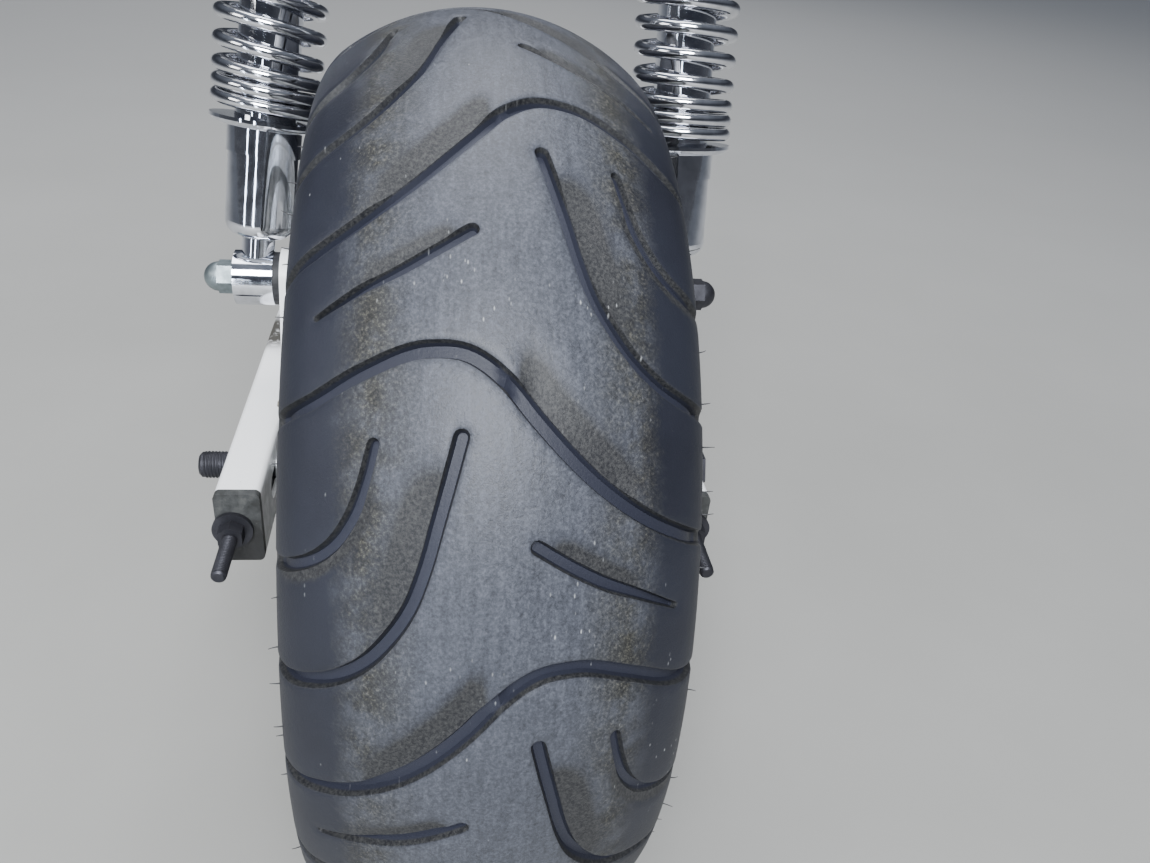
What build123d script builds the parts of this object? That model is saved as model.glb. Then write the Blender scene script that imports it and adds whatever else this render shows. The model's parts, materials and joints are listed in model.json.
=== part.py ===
from build123d import *
import os
from math import asin, atan2, cos, degrees, pi, radians, sin, tan

# Rear wheel unit of a minibike: wheel, swingarm and twin shock absorbers.
# Frame: origin at the centre of the swingarm pivot bore, X forward, Y left, Z up.

# Layout of the swingarm and the wheel
ARM_REACH = 345.0           # pivot to axle
ARM_CLEARANCE = 23.0        # from the tyre's side to an arm, with the wheel in the middle
WHEEL_OFFSET = -2.5         # the wheel stands a little to the right, to leave room for the chain
SEAT = 0.1                  # assembly clearance of fixed round fits
CUT = 1.0                   # how far a cut runs past the face it opens
FACE_GAP = 0.3              # running gap between turning and standing faces
RUNNING_FIT = 0.05          # radial clearance of the bearings on the axle

# Tyre
TYRE_RADIUS = 205.0
TYRE_WIDTH = 132.0
CROWN_RADIUS = 92.0
SHOULDER_RADIUS = 26.0
SHOULDER_WRAP = 35.0        # degrees that the shoulder arc runs past the widest place
CROWN_WALL = 11.0
SIDE_WALL = 6.0
BEAD_WIDTH = 14.0
BEAD_HEIGHT = 7.0
BEAD_CORNER = 1.0
BEAD_COVER = 1.5            # rubber over the rim flange's edge
BEAD_NECK_RISE = 3.0        # inner wall's foot: above the flange and inside the bead
BEAD_NECK_WALL = 4.0

# Split rim
SEAT_RADIUS = 127.0
RIM_WIDTH = 88.9
FLANGE_HEIGHT = 12.5
FLANGE_CURL = 6.0
RIM_WALL = 3.2
WELL_RADIUS = 112.0
WELL_HALF = 10.0
WELL_RISE = 1.5             # the well's floor slopes up towards its edges
WELL_CORNER = 2.0
BEAD_SEAT_WIDTH = 17.0
WEB_WALL = 4.0
WEB_FOOT = 6.0              # slope from the web into the well
RIM_CENTRE_BORE = 40.0
WINDOW_COUNT = 5
WINDOW_RADIUS = 85.0
WINDOW_WIDTH = 21.0
WINDOW_SWEEP = 34.0

# Valve stem in the left half of the rim
VALVE_RADIUS = 3.9
VALVE_SIDE = 9.0
VALVE_ANGLE = 36.0
VALVE_LENGTH = 22.0
VALVE_CAP = 9.0
VALVE_CAP_STEP = 1.0
VALVE_FOOT = 2.0

# Hub, brake drum and bearings
HUB_SPIGOT_RADIUS = RIM_CENTRE_BORE - SEAT
HUB_FLANGE_RADIUS = 62.0
HUB_FLANGE_WALL = 9.0
HUB_TUBE_RADIUS = 23.0
HUB_BORE_RADIUS = 12.0
HUB_CONE_LENGTH = 8.0       # cone between the web's spigot and the tube
HUB_CONE_STEP = 6.0
HUB_NECK_STEP = 4.0         # slope behind the sprocket flange: height, start and end
HUB_NECK_START = 3.0
HUB_NECK_END = 9.0
DRUM_INNER_RADIUS = 55.0
DRUM_LIP_RADIUS = 66.0
DRUM_LIP_WIDTH = 5.0
DRUM_LIP_SLOPE = 2.0
DRUM_MOUTH = 52.0           # distance of the drum's open edge from the wheel plane
DRUM_FLOOR = 18.0
BEARING_RADIUS = 16.0
BEARING_WIDTH = 10.0
BEARING_DEPTH = 4.0         # left bearing's face inside the sprocket spigot
BEARING_GROOVE_OUTER = 12.5
BEARING_GROOVE_INNER = 9.0
BEARING_GROOVE_DEPTH = 0.8
RIGHT_BEARING_FACE = 33.0
RIM_BOLT_CIRCLE = 51.0
RIM_BOLT_RADIUS = 4.0
RIM_BOLT_HEAD = 6.5         # half of the spanner size
RIM_BOLT_HEAD_HEIGHT = 5.5
RIM_BOLT_COUNT = 5

# Sprocket
CHAIN_PITCH = 12.7
ROLLER_RADIUS = 3.9
TOOTH_COUNT = 31
TOOTH_FLARE = 1.6           # each side of a tooth gap widens by this towards the tip
SPROCKET_WALL = 5.5
SPROCKET_CLEARANCE = 5.75   # from the sprocket's outer face to the left shock bracket
SPROCKET_SPIGOT = 28.0
RELIEF_CIRCLE = 49.5        # curved slots between the sprocket's bolts
RELIEF_WIDTH = 7.0
RELIEF_START = 20.0
RELIEF_SWEEP = 50.0
SPROCKET_FLANGE_RADIUS = 43.0
SPROCKET_FLANGE_WALL = 8.0
SPROCKET_BOLT_CIRCLE = 36.0
SPROCKET_BOLT_RADIUS = 4.0
SCREW_HEAD_RADIUS = 7.5
SCREW_HEAD_HEIGHT = 3.5
SPROCKET_BOLT_COUNT = 4

# Arms
ARM_WIDTH = 19.0
ARM_HEIGHT = 35.0
ARM_WALL = 2.0
ARM_CORNER = 2.5
ARM_TAIL = 45.0             # axle to the rear end of the arm
PIVOT_TUBE_RADIUS = 21.0
PIVOT_TUBE_BORE = 16.0
PIVOT_BUSH_LENGTH = 30.0
PIVOT_FLANGE_WALL = 1.5
PIVOT_FLANGE_STEP = 2.0
PIVOT_SLEEVE_PROUD = 0.5
SLEEVE_RADIUS = 10.0
PIVOT_BOLT_RADIUS = 6.1
BRACE_TYRE_GAP = 16.0
BRACE_RADIUS = 12.0
BRACE_WALL = 2.0

# Axle and chain adjusters
AXLE_RADIUS = 6.0
AXLE_STUB = 16.4            # threaded end beyond the left arm
AXLE_CHAMFER = 1.2
AXLE_HEAD = 9.5
AXLE_HEAD_HEIGHT = 7.5
AXLE_WASHER = 2.0
AXLE_WASHER_RADIUS = 13.0
SLOT_LENGTH = 45.0
SLOT_WIDTH = 12.6
BLOCK_LENGTH = 26.0
BLOCK_HEIGHT = 30.0
END_PLATE_WALL = 4.0
ADJUSTER_RADIUS = 3.0
ADJUSTER_CHAMFER = 0.8
ADJUSTER_CLEARANCE = 0.4    # rod in the end plate's hole
ADJUSTER_OUTWARD = 2.5      # rod from the arm's middle
ADJUSTER_REACH = 32.5       # rod beyond the rear face of the end plate
ADJUSTER_FLANGE = 8.5
ADJUSTER_FLANGE_WALL = 2.0
ADJUSTER_HEX = 5.0
ADJUSTER_HEX_HEIGHT = 6.0
COLLAR_RADIUS = 9.5

# Brake panel, lever and torque stay
PANEL_WALL = 5.0
PANEL_BOSS_RADIUS = 14.0
PANEL_BOSS_SLOPE = 3.0
PANEL_SPIGOT_RADIUS = 10.0
PANEL_CONE_RADIUS = 13.0
PANEL_STEP = 6.0            # how far the panel sits inside the drum's mouth
PANEL_CLEARANCE = 1.0       # panel inside the drum
PANEL_EDGE_STEP = 1.5       # panel's edge inside the drum's lip
PANEL_EDGE_SLOPE = 2.0
CAM_PLACE = (26.0, -30.0)
CAM_RADIUS = 5.0
CAM_BOSS_RADIUS = 9.0
CAM_BOSS_HEIGHT = 8.0
CAM_PROUD = 4.0
CAM_INSIDE = 5.0
LEVER_LENGTH = 62.0
LEVER_WIDTH = 11.0
LEVER_BOSS_RADIUS = 10.5
LEVER_WALL = 5.0
LEVER_ANGLE = -110.0        # degrees from forward, in the wheel plane
LEVER_HOLE = 3.1
STAY_PLACE = (34.0, 34.0)
STAY_BRACE_GAP = 12.0       # from the front lug to the cross brace
STAY_ANCHOR_RISE = 2.0
STAY_WIDTH = 18.0
STAY_WALL = 5.0
STAY_PIN_RADIUS = 4.0
STAY_BOSS_RADIUS = 9.0
STAY_HOLE_FLOOR = 3.0
STAY_BOLT_HEAD = 6.5
STAY_BOLT_HEAD_HEIGHT = 4.5
STAY_GAP = 0.5              # from the rear bolt's head to the right shock bracket

# Shock absorbers
EYE_PLACE = (52.0, 73.0)    # lower eye from the axle, forward and up
LEAN_FORWARD = 10.0
LEAN_INWARD_LEFT = 6.2
LEAN_INWARD_RIGHT = 2.5
EYE_TO_EYE = 330.0
EYE_RADIUS = 13.0
EYE_WIDTH = 18.0
EYE_BORE = 9.5
RUBBER_RADIUS = EYE_BORE - SEAT
SLEEVE_BORE = 5.1
SLEEVE_WALL = 1.6
SLEEVE_PROUD = 0.5
NECK_RADIUS = 7.5
NECK_START = 6.0            # the neck begins in the lower eye's bore
NECK_END = 8.0              # and ends this far short of the upper eye's centre
TUBE_RADIUS = 15.5
TUBE_START = 20.0
TUBE_ROUND = 7.0
RING_RADIUS = 16.4
RING_START = 58.0
RING_HEIGHT = 11.5
BOWL_NECK_RADIUS = 18.5
BOWL_HEIGHT = 4.0
BOWL_RIM = 1.5
BODY_RADIUS = 13.5
BODY_END = 215.0
BODY_CHAMFER = 2.0
ROD_RADIUS = 5.0
ROD_INSIDE = 60.0
ROD_END_GAP = 1.0
SPRING_RADIUS = 24.0
WIRE_RADIUS = 3.0
CLOSED_PITCH = 6.2
OPEN_PITCH = 11.0
CLOSED_TURNS = 2.0
TOP_CLOSED_TURNS = 1.5
BLEND_TURNS = 1.5
COIL_HAND = -1
POINTS_PER_TURN = 8
COVER_START = 262.0
COVER_HEIGHT = 24.0
COVER_RADIUS = 26.5
COVER_WALL = 1.8
COVER_TOP_RADIUS = 12.0
COVER_SKIRT = 5.0
COVER_BAND = 6.0
COVER_NECK_RISE = 2.0

# Shock brackets on the arms
BRACKET_WALL = 5.0
BRACKET_HALF_WIDTH = 19.0
BRACKET_HEAD_RADIUS = 14.82
BRACKET_FLARE = 11.0        # foot beyond the half width, at each end
BRACKET_DROP = 16.0         # reach below the arm's top face
STUD_RADIUS = 5.0
STUD_ROOT = 2.0             # the stud's riveted end, inside the bracket
STUD_TIP = 2.0              # the stud's end in the dome nut, and the room beyond it
STUD_TIP_GAP = 0.5
RUBBER_WASHER_RADIUS = 12.5
RUBBER_WASHER_WALL = 3.5
NUT_HEX = 7.0
NUT_HEX_HEIGHT = 8.0
NUT_DOME_HEIGHT = 7.0

# Places that follow from the sizes
ARM_INNER = TYRE_WIDTH / 2 + ARM_CLEARANCE
ARM_OUTER = ARM_INNER + ARM_WIDTH
ARM_MIDDLE = ARM_INNER + ARM_WIDTH / 2
BRACKET_INNER = ARM_INNER - BRACKET_WALL
AXLE_X = -ARM_REACH
TAIL_X = AXLE_X - ARM_TAIL
BRACE_X = AXLE_X + TYRE_RADIUS + BRACE_TYRE_GAP + BRACE_RADIUS
SPROCKET_LINE = BRACKET_INNER - SPROCKET_CLEARANCE - SPROCKET_WALL / 2 - WHEEL_OFFSET
STAY_PLANE = -BRACKET_INNER + STAY_GAP + STAY_BOLT_HEAD_HEIGHT + STAY_WALL
STAY_ANCHOR = (TYRE_RADIUS + BRACE_TYRE_GAP - STAY_BRACE_GAP - STAY_BOSS_RADIUS, STAY_ANCHOR_RISE)
PANEL_BOSS_END = WHEEL_OFFSET - STAY_PLANE
EYE_SIDE = ARM_INNER + RUBBER_WASHER_WALL + EYE_WIDTH / 2
RIM_HALF = RIM_WIDTH / 2
FLANGE_RADIUS = SEAT_RADIUS + FLANGE_HEIGHT
AXLE_BORE = AXLE_RADIUS + SEAT
COIL_RADIUS = SPRING_RADIUS - WIRE_RADIUS
SPRING_SEAT = RING_START + RING_HEIGHT + BOWL_HEIGHT
SIDES = (("left", 1), ("right", -1))


def at_wheel(shape):
    """Puts a shape made about the origin on the wheel's centre."""
    return Pos(AXLE_X, WHEEL_OFFSET, 0) * shape


def turned(outline):
    """Revolves an outline of (radius, sideways) about the Y axis."""
    return revolve(make_face(outline), Axis.Y)


def disc(radius, start, end, x=0.0, z=0.0):
    """Cylinder along Y between two sideways places."""
    low = min(start, end)
    high = max(start, end)
    upright = Cylinder(radius, high - low, align=(Align.CENTER, Align.CENTER, Align.MIN))
    return Pos(x, high, z) * Rot(90, 0, 0) * upright


def ring(outer, inner, start, end, x=0.0, z=0.0):
    """Round tube along Y."""
    low = min(start, end) - CUT
    high = max(start, end) + CUT
    return disc(outer, start, end, x, z) - disc(inner, low, high, x, z)


def hexagon(half_size, start, end, x=0.0, z=0.0):
    """Hexagonal prism along Y, half_size across half the flats."""
    low = min(start, end)
    high = max(start, end)
    outline = RegularPolygon(half_size, 6, major_radius=False)
    return Pos(x, high, z) * Rot(90, 0, 0) * extrude(outline, high - low)


def along_rear(shape, x, y, z):
    """Turns an upright shape so that it points backwards."""
    return Pos(x, y, z) * Rot(0, -90, 0) * shape


# Tyre

def carcass_side(radius, width, crown, shoulder):
    """Crown and shoulder arcs of half a section, with the place where they end."""
    tilt = degrees(asin((width / 2 - shoulder) / (crown - shoulder)))
    crown_x = radius - crown
    shoulder_x = crown_x + (crown - shoulder) * cos(radians(tilt))
    shoulder_y = width / 2 - shoulder
    crown_arc = CenterArc((crown_x, 0), crown, 0, tilt)
    shoulder_arc = CenterArc((shoulder_x, shoulder_y), shoulder, tilt, 90 + SHOULDER_WRAP - tilt)
    return crown_arc, shoulder_arc


def make_tyre():
    outer_crown, outer_shoulder = carcass_side(TYRE_RADIUS, TYRE_WIDTH, CROWN_RADIUS, SHOULDER_RADIUS)
    inner_crown, inner_shoulder = carcass_side(
        TYRE_RADIUS - CROWN_WALL,
        TYRE_WIDTH - 2 * SIDE_WALL,
        CROWN_RADIUS - CROWN_WALL,
        SHOULDER_RADIUS - SIDE_WALL,
    )
    over_flange = FLANGE_RADIUS + BEAD_COVER
    wall_end = outer_shoulder @ 1
    lower = wall_end.Y - (wall_end.X - over_flange) * tan(radians(SHOULDER_WRAP))
    bead = Polyline(
        outer_shoulder @ 1,
        (over_flange, lower),
        (FLANGE_RADIUS, RIM_HALF),
        (SEAT_RADIUS + SEAT, RIM_HALF),
        (SEAT_RADIUS + SEAT, RIM_HALF - BEAD_WIDTH),
        (SEAT_RADIUS + BEAD_HEIGHT, RIM_HALF - BEAD_WIDTH + BEAD_CORNER),
        (FLANGE_RADIUS + BEAD_NECK_RISE, RIM_HALF - BEAD_NECK_WALL),
        inner_shoulder @ 1,
    )
    closing = Line(inner_crown @ 0, outer_crown @ 0)
    half = make_face(outer_crown + outer_shoulder + bead + inner_shoulder + inner_crown + closing)
    section = half + mirror(half, Plane.XZ)
    return at_wheel(revolve(section, Axis.Y))


# Split rim

def rim_half():
    lip_x = FLANGE_RADIUS - FLANGE_CURL
    lip_y = RIM_HALF + FLANGE_CURL
    tyre_side = Polyline(
        (WELL_RADIUS, 0),
        (WELL_RADIUS + WELL_RISE, WELL_HALF),
        (SEAT_RADIUS, RIM_HALF - BEAD_SEAT_WIDTH),
        (SEAT_RADIUS, RIM_HALF),
        (lip_x, RIM_HALF),
    )
    curl = CenterArc((lip_x, lip_y), FLANGE_CURL, -90, 90)
    lip = Line((FLANGE_RADIUS, lip_y), (FLANGE_RADIUS - RIM_WALL, lip_y))
    curl_back = CenterArc((lip_x, lip_y), FLANGE_CURL - RIM_WALL, 0, -90)
    open_side = Polyline(
        (lip_x, RIM_HALF + RIM_WALL),
        (SEAT_RADIUS - RIM_WALL, RIM_HALF + RIM_WALL),
        (SEAT_RADIUS - RIM_WALL, RIM_HALF - BEAD_SEAT_WIDTH + WELL_CORNER),
        (WELL_RADIUS - WELL_CORNER, WELL_HALF + WELL_CORNER),
        (WELL_RADIUS - WEB_FOOT, WEB_WALL),
        (RIM_CENTRE_BORE, WEB_WALL),
        (RIM_CENTRE_BORE, 0),
        (WELL_RADIUS, 0),
    )
    blank = turned(tyre_side + curl + lip + curl_back + open_side)
    middle = CenterArc((0, 0), WINDOW_RADIUS, -WINDOW_SWEEP / 2, WINDOW_SWEEP)
    window = extrude(SlotArc(middle, WINDOW_WIDTH), WEB_WALL + CUT, both=True)
    upright_window = Rot(90, 0, 0) * window
    hole = disc(RIM_BOLT_RADIUS + SEAT, -CUT, WEB_WALL + CUT, x=RIM_BOLT_CIRCLE)
    for number in range(WINDOW_COUNT):
        blank -= Rot(0, number * 360 / WINDOW_COUNT, 0) * upright_window
    for number in range(RIM_BOLT_COUNT):
        blank -= Rot(0, number * 360 / RIM_BOLT_COUNT, 0) * hole
    return blank


def make_rim(side):
    half = rim_half()
    if side < 0:
        half = mirror(half, Plane.XZ)
    else:
        half -= valve_cylinder(VALVE_RADIUS + SEAT, SEAT_RADIUS, WELL_RADIUS - VALVE_LENGTH)
    return at_wheel(half)


def make_rim_bolt(number):
    back = WEB_WALL + HUB_FLANGE_WALL
    bolt = disc(RIM_BOLT_RADIUS, -back + CUT, WEB_WALL, x=RIM_BOLT_CIRCLE)
    bolt += hexagon(RIM_BOLT_HEAD, WEB_WALL, WEB_WALL + RIM_BOLT_HEAD_HEIGHT, x=RIM_BOLT_CIRCLE)
    return at_wheel(Rot(0, number * 360 / RIM_BOLT_COUNT, 0) * bolt)


# Hub with its brake drum

def make_hub():
    sprocket_face = SPROCKET_LINE - SPROCKET_WALL / 2
    spigot_end = SPROCKET_LINE + SPROCKET_WALL / 2
    outline = Polyline(
        (HUB_BORE_RADIUS, spigot_end - BEARING_WIDTH - BEARING_DEPTH),
        (BEARING_RADIUS + SEAT / 2, spigot_end - BEARING_WIDTH - BEARING_DEPTH),
        (BEARING_RADIUS + SEAT / 2, spigot_end),
        (SPROCKET_SPIGOT - SEAT, spigot_end),
        (SPROCKET_SPIGOT - SEAT, sprocket_face),
        (SPROCKET_FLANGE_RADIUS, sprocket_face),
        (SPROCKET_FLANGE_RADIUS, sprocket_face - SPROCKET_FLANGE_WALL),
        (HUB_TUBE_RADIUS + HUB_NECK_STEP, sprocket_face - SPROCKET_FLANGE_WALL - HUB_NECK_START),
        (HUB_TUBE_RADIUS, sprocket_face - SPROCKET_FLANGE_WALL - HUB_NECK_END),
        (HUB_TUBE_RADIUS, WEB_WALL + HUB_CONE_LENGTH),
        (HUB_SPIGOT_RADIUS - HUB_CONE_STEP, WEB_WALL),
        (HUB_SPIGOT_RADIUS, WEB_WALL),
        (HUB_SPIGOT_RADIUS, -WEB_WALL),
        (HUB_FLANGE_RADIUS, -WEB_WALL),
        (HUB_FLANGE_RADIUS, -DRUM_MOUTH + DRUM_LIP_WIDTH + DRUM_LIP_SLOPE),
        (DRUM_LIP_RADIUS, -DRUM_MOUTH + DRUM_LIP_WIDTH),
        (DRUM_LIP_RADIUS, -DRUM_MOUTH),
        (DRUM_INNER_RADIUS, -DRUM_MOUTH),
        (DRUM_INNER_RADIUS, -DRUM_FLOOR),
        (HUB_TUBE_RADIUS, -DRUM_FLOOR),
        (HUB_TUBE_RADIUS, -RIGHT_BEARING_FACE),
        (BEARING_RADIUS + SEAT / 2, -RIGHT_BEARING_FACE),
        (BEARING_RADIUS + SEAT / 2, -RIGHT_BEARING_FACE + BEARING_WIDTH),
        (HUB_BORE_RADIUS, -RIGHT_BEARING_FACE + BEARING_WIDTH),
        close=True,
    )
    hub = turned(outline)
    for number in range(RIM_BOLT_COUNT):
        hole = disc(RIM_BOLT_RADIUS + SEAT, -WEB_WALL - HUB_FLANGE_WALL, 0, x=RIM_BOLT_CIRCLE)
        hub -= Rot(0, number * 360 / RIM_BOLT_COUNT, 0) * hole
    for number in range(SPROCKET_BOLT_COUNT):
        back = sprocket_face - SPROCKET_FLANGE_WALL - CUT
        hole = disc(SPROCKET_BOLT_RADIUS + SEAT, back, sprocket_face + CUT, x=SPROCKET_BOLT_CIRCLE)
        hub -= Rot(0, number * 360 / SPROCKET_BOLT_COUNT, 0) * hole
    return at_wheel(hub)


def bearing_places():
    left = SPROCKET_LINE + SPROCKET_WALL / 2 - BEARING_DEPTH
    right = -RIGHT_BEARING_FACE + BEARING_WIDTH
    return {"left": (left - BEARING_WIDTH, left), "right": (right - BEARING_WIDTH, right)}


def make_bearing(name):
    start, end = bearing_places()[name]
    blank = ring(BEARING_RADIUS, AXLE_RADIUS + RUNNING_FIT, start, end)
    for face, inward in ((start, 1), (end, -1)):
        depth = inward * BEARING_GROOVE_DEPTH
        groove = ring(BEARING_GROOVE_OUTER, BEARING_GROOVE_INNER, face - inward * CUT, face + depth)
        blank -= groove
    return at_wheel(blank)


# Sprocket

def make_sprocket():
    pitch_radius = CHAIN_PITCH / 2 / sin(pi / TOOTH_COUNT)
    tip_radius = CHAIN_PITCH * (0.6 + 1 / tan(pi / TOOTH_COUNT)) / 2
    plate = Circle(tip_radius)
    gap_outline = Polyline(
        (pitch_radius, -ROLLER_RADIUS),
        (tip_radius + CUT, -ROLLER_RADIUS - TOOTH_FLARE),
        (tip_radius + CUT, ROLLER_RADIUS + TOOTH_FLARE),
        (pitch_radius, ROLLER_RADIUS),
        close=True,
    )
    gap = make_face(gap_outline) + Pos(pitch_radius, 0) * Circle(ROLLER_RADIUS)
    plate -= [Rot(0, 0, 360 * number / TOOTH_COUNT) * gap for number in range(TOOTH_COUNT)]
    plate -= Circle(SPROCKET_SPIGOT)
    bolt_hole = Pos(SPROCKET_BOLT_CIRCLE, 0) * Circle(SPROCKET_BOLT_RADIUS + SEAT)
    relief_arc = CenterArc((0, 0), RELIEF_CIRCLE, RELIEF_START, RELIEF_SWEEP)
    relief = SlotArc(relief_arc, RELIEF_WIDTH)
    for number in range(SPROCKET_BOLT_COUNT):
        turn = Rot(0, 0, 360 * number / SPROCKET_BOLT_COUNT)
        plate -= turn * bolt_hole
        plate -= turn * relief
    solid = Pos(0, SPROCKET_LINE, 0) * Rot(90, 0, 0) * extrude(plate, SPROCKET_WALL / 2, both=True)
    for number in range(SPROCKET_BOLT_COUNT):
        solid -= Rot(0, 360 * number / SPROCKET_BOLT_COUNT, 0) * screw_cone(SEAT)
    return at_wheel(solid)


def screw_cone(spare):
    """Countersunk head, widened by a clearance, with its flat on the sprocket's outer face."""
    face = SPROCKET_LINE + SPROCKET_WALL / 2
    cone = Cone(
        SPROCKET_BOLT_RADIUS + spare,
        SCREW_HEAD_RADIUS + spare,
        SCREW_HEAD_HEIGHT,
        align=(Align.CENTER, Align.CENTER, Align.MAX),
    )
    return Pos(SPROCKET_BOLT_CIRCLE, face, 0) * Rot(-90, 0, 0) * cone


def make_sprocket_bolt(number):
    face = SPROCKET_LINE + SPROCKET_WALL / 2
    back = face - SPROCKET_WALL - SPROCKET_FLANGE_WALL
    bolt = disc(SPROCKET_BOLT_RADIUS, back + CUT, face - CUT, x=SPROCKET_BOLT_CIRCLE) + screw_cone(0)
    return at_wheel(Rot(0, number * 360 / SPROCKET_BOLT_COUNT, 0) * bolt)


def valve_cylinder(radius, outer, inner):
    upright = Cylinder(radius, outer - inner, align=(Align.CENTER, Align.CENTER, Align.MIN))
    return Rot(0, VALVE_ANGLE, 0) * Pos(inner, VALVE_SIDE, 0) * Rot(0, 90, 0) * upright


def make_valve():
    base = WELL_RADIUS + VALVE_FOOT
    root = base - VALVE_LENGTH
    stem = valve_cylinder(VALVE_RADIUS, base, root)
    cap = valve_cylinder(VALVE_RADIUS - VALVE_CAP_STEP, root, root - VALVE_CAP)
    return at_wheel(stem + cap)


# Swingarm

def make_arm(side):
    front = -PIVOT_TUBE_RADIUS / 4
    length = front - TAIL_X
    outer = RectangleRounded(ARM_HEIGHT, ARM_WIDTH, ARM_CORNER)
    inner = RectangleRounded(ARM_HEIGHT - 2 * ARM_WALL, ARM_WIDTH - 2 * ARM_WALL, ARM_CORNER - ARM_WALL)
    tube = extrude(outer - inner, length)
    arm = along_rear(tube, front, side * ARM_MIDDLE, 0)
    arm -= disc(PIVOT_TUBE_RADIUS, -ARM_OUTER - CUT, ARM_OUTER + CUT)
    slot = extrude(SlotOverall(SLOT_LENGTH, SLOT_WIDTH), ARM_WIDTH, both=True)
    arm -= Pos(AXLE_X, side * ARM_MIDDLE, 0) * Rot(90, 0, 0) * slot
    return arm


def make_end_plate(side):
    outline = RectangleRounded(ARM_HEIGHT, ARM_WIDTH, ARM_CORNER)
    outline -= Pos(0, side * ADJUSTER_OUTWARD) * Circle(ADJUSTER_RADIUS + ADJUSTER_CLEARANCE)
    return along_rear(extrude(outline, END_PLATE_WALL), TAIL_X, side * ARM_MIDDLE, 0)


def rod_side(side):
    return side * (ARM_MIDDLE + ADJUSTER_OUTWARD)


def make_adjuster(side):
    middle = side * ARM_MIDDLE
    width = ARM_WIDTH - 2 * ARM_WALL - 2 * SEAT
    block = Pos(AXLE_X, middle, 0) * Box(BLOCK_LENGTH, width, BLOCK_HEIGHT)
    back = AXLE_X - BLOCK_LENGTH / 2
    tip = TAIL_X - END_PLATE_WALL - ADJUSTER_REACH
    rod = Cylinder(ADJUSTER_RADIUS, back - tip, align=(Align.CENTER, Align.CENTER, Align.MIN))
    rod = chamfer(rod.edges().group_by(Axis.Z)[-1], ADJUSTER_CHAMFER)
    adjuster = block + along_rear(rod, back, rod_side(side), 0)
    return adjuster - disc(AXLE_BORE, middle - ARM_WIDTH, middle + ARM_WIDTH, x=AXLE_X)


def make_adjuster_nut(side):
    height = ADJUSTER_FLANGE_WALL + ADJUSTER_HEX_HEIGHT
    flange = Cylinder(ADJUSTER_FLANGE, ADJUSTER_FLANGE_WALL, align=(Align.CENTER, Align.CENTER, Align.MIN))
    prism = extrude(RegularPolygon(ADJUSTER_HEX, 6, major_radius=False), height)
    nut = flange + prism - Cylinder(ADJUSTER_RADIUS + SEAT, 3 * height)
    return along_rear(nut, TAIL_X - END_PLATE_WALL, rod_side(side), 0)


def make_pivot_tube():
    return ring(PIVOT_TUBE_RADIUS, PIVOT_TUBE_BORE, -ARM_OUTER, ARM_OUTER)


def make_pivot_bush(side):
    inner = SLEEVE_RADIUS + SEAT
    bush = ring(PIVOT_TUBE_BORE - SEAT, inner, side * (ARM_OUTER - PIVOT_BUSH_LENGTH), side * ARM_OUTER)
    flange_end = side * (ARM_OUTER + PIVOT_FLANGE_WALL)
    flange = ring(PIVOT_TUBE_RADIUS - PIVOT_FLANGE_STEP, inner, side * ARM_OUTER, flange_end)
    return bush + flange


def make_pivot_sleeve():
    end = ARM_OUTER + PIVOT_FLANGE_WALL + PIVOT_SLEEVE_PROUD
    return ring(SLEEVE_RADIUS, PIVOT_BOLT_RADIUS, -end, end)


def make_cross_brace():
    return ring(BRACE_RADIUS, BRACE_RADIUS - BRACE_WALL, -ARM_INNER, ARM_INNER, x=BRACE_X)


# Axle and what it carries

def make_axle():
    head_face = -ARM_OUTER - AXLE_WASHER
    shank = disc(AXLE_RADIUS, head_face, ARM_OUTER + AXLE_STUB)
    shank = chamfer(shank.edges().group_by(Axis.Y)[-1], AXLE_CHAMFER)
    head = hexagon(AXLE_HEAD, head_face - AXLE_HEAD_HEIGHT, head_face)
    washer = disc(AXLE_WASHER_RADIUS, head_face, -ARM_OUTER)
    return Pos(AXLE_X, 0, 0) * (shank + head + washer)


def make_collar(name):
    start, end = bearing_places()[name]
    if name == "left":
        return ring(COLLAR_RADIUS, AXLE_BORE, end + WHEEL_OFFSET + FACE_GAP, ARM_INNER, x=AXLE_X)
    return ring(COLLAR_RADIUS, AXLE_BORE, -ARM_INNER, STAY_PLANE, x=AXLE_X)


# Brake panel, cam lever and torque stay

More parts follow.
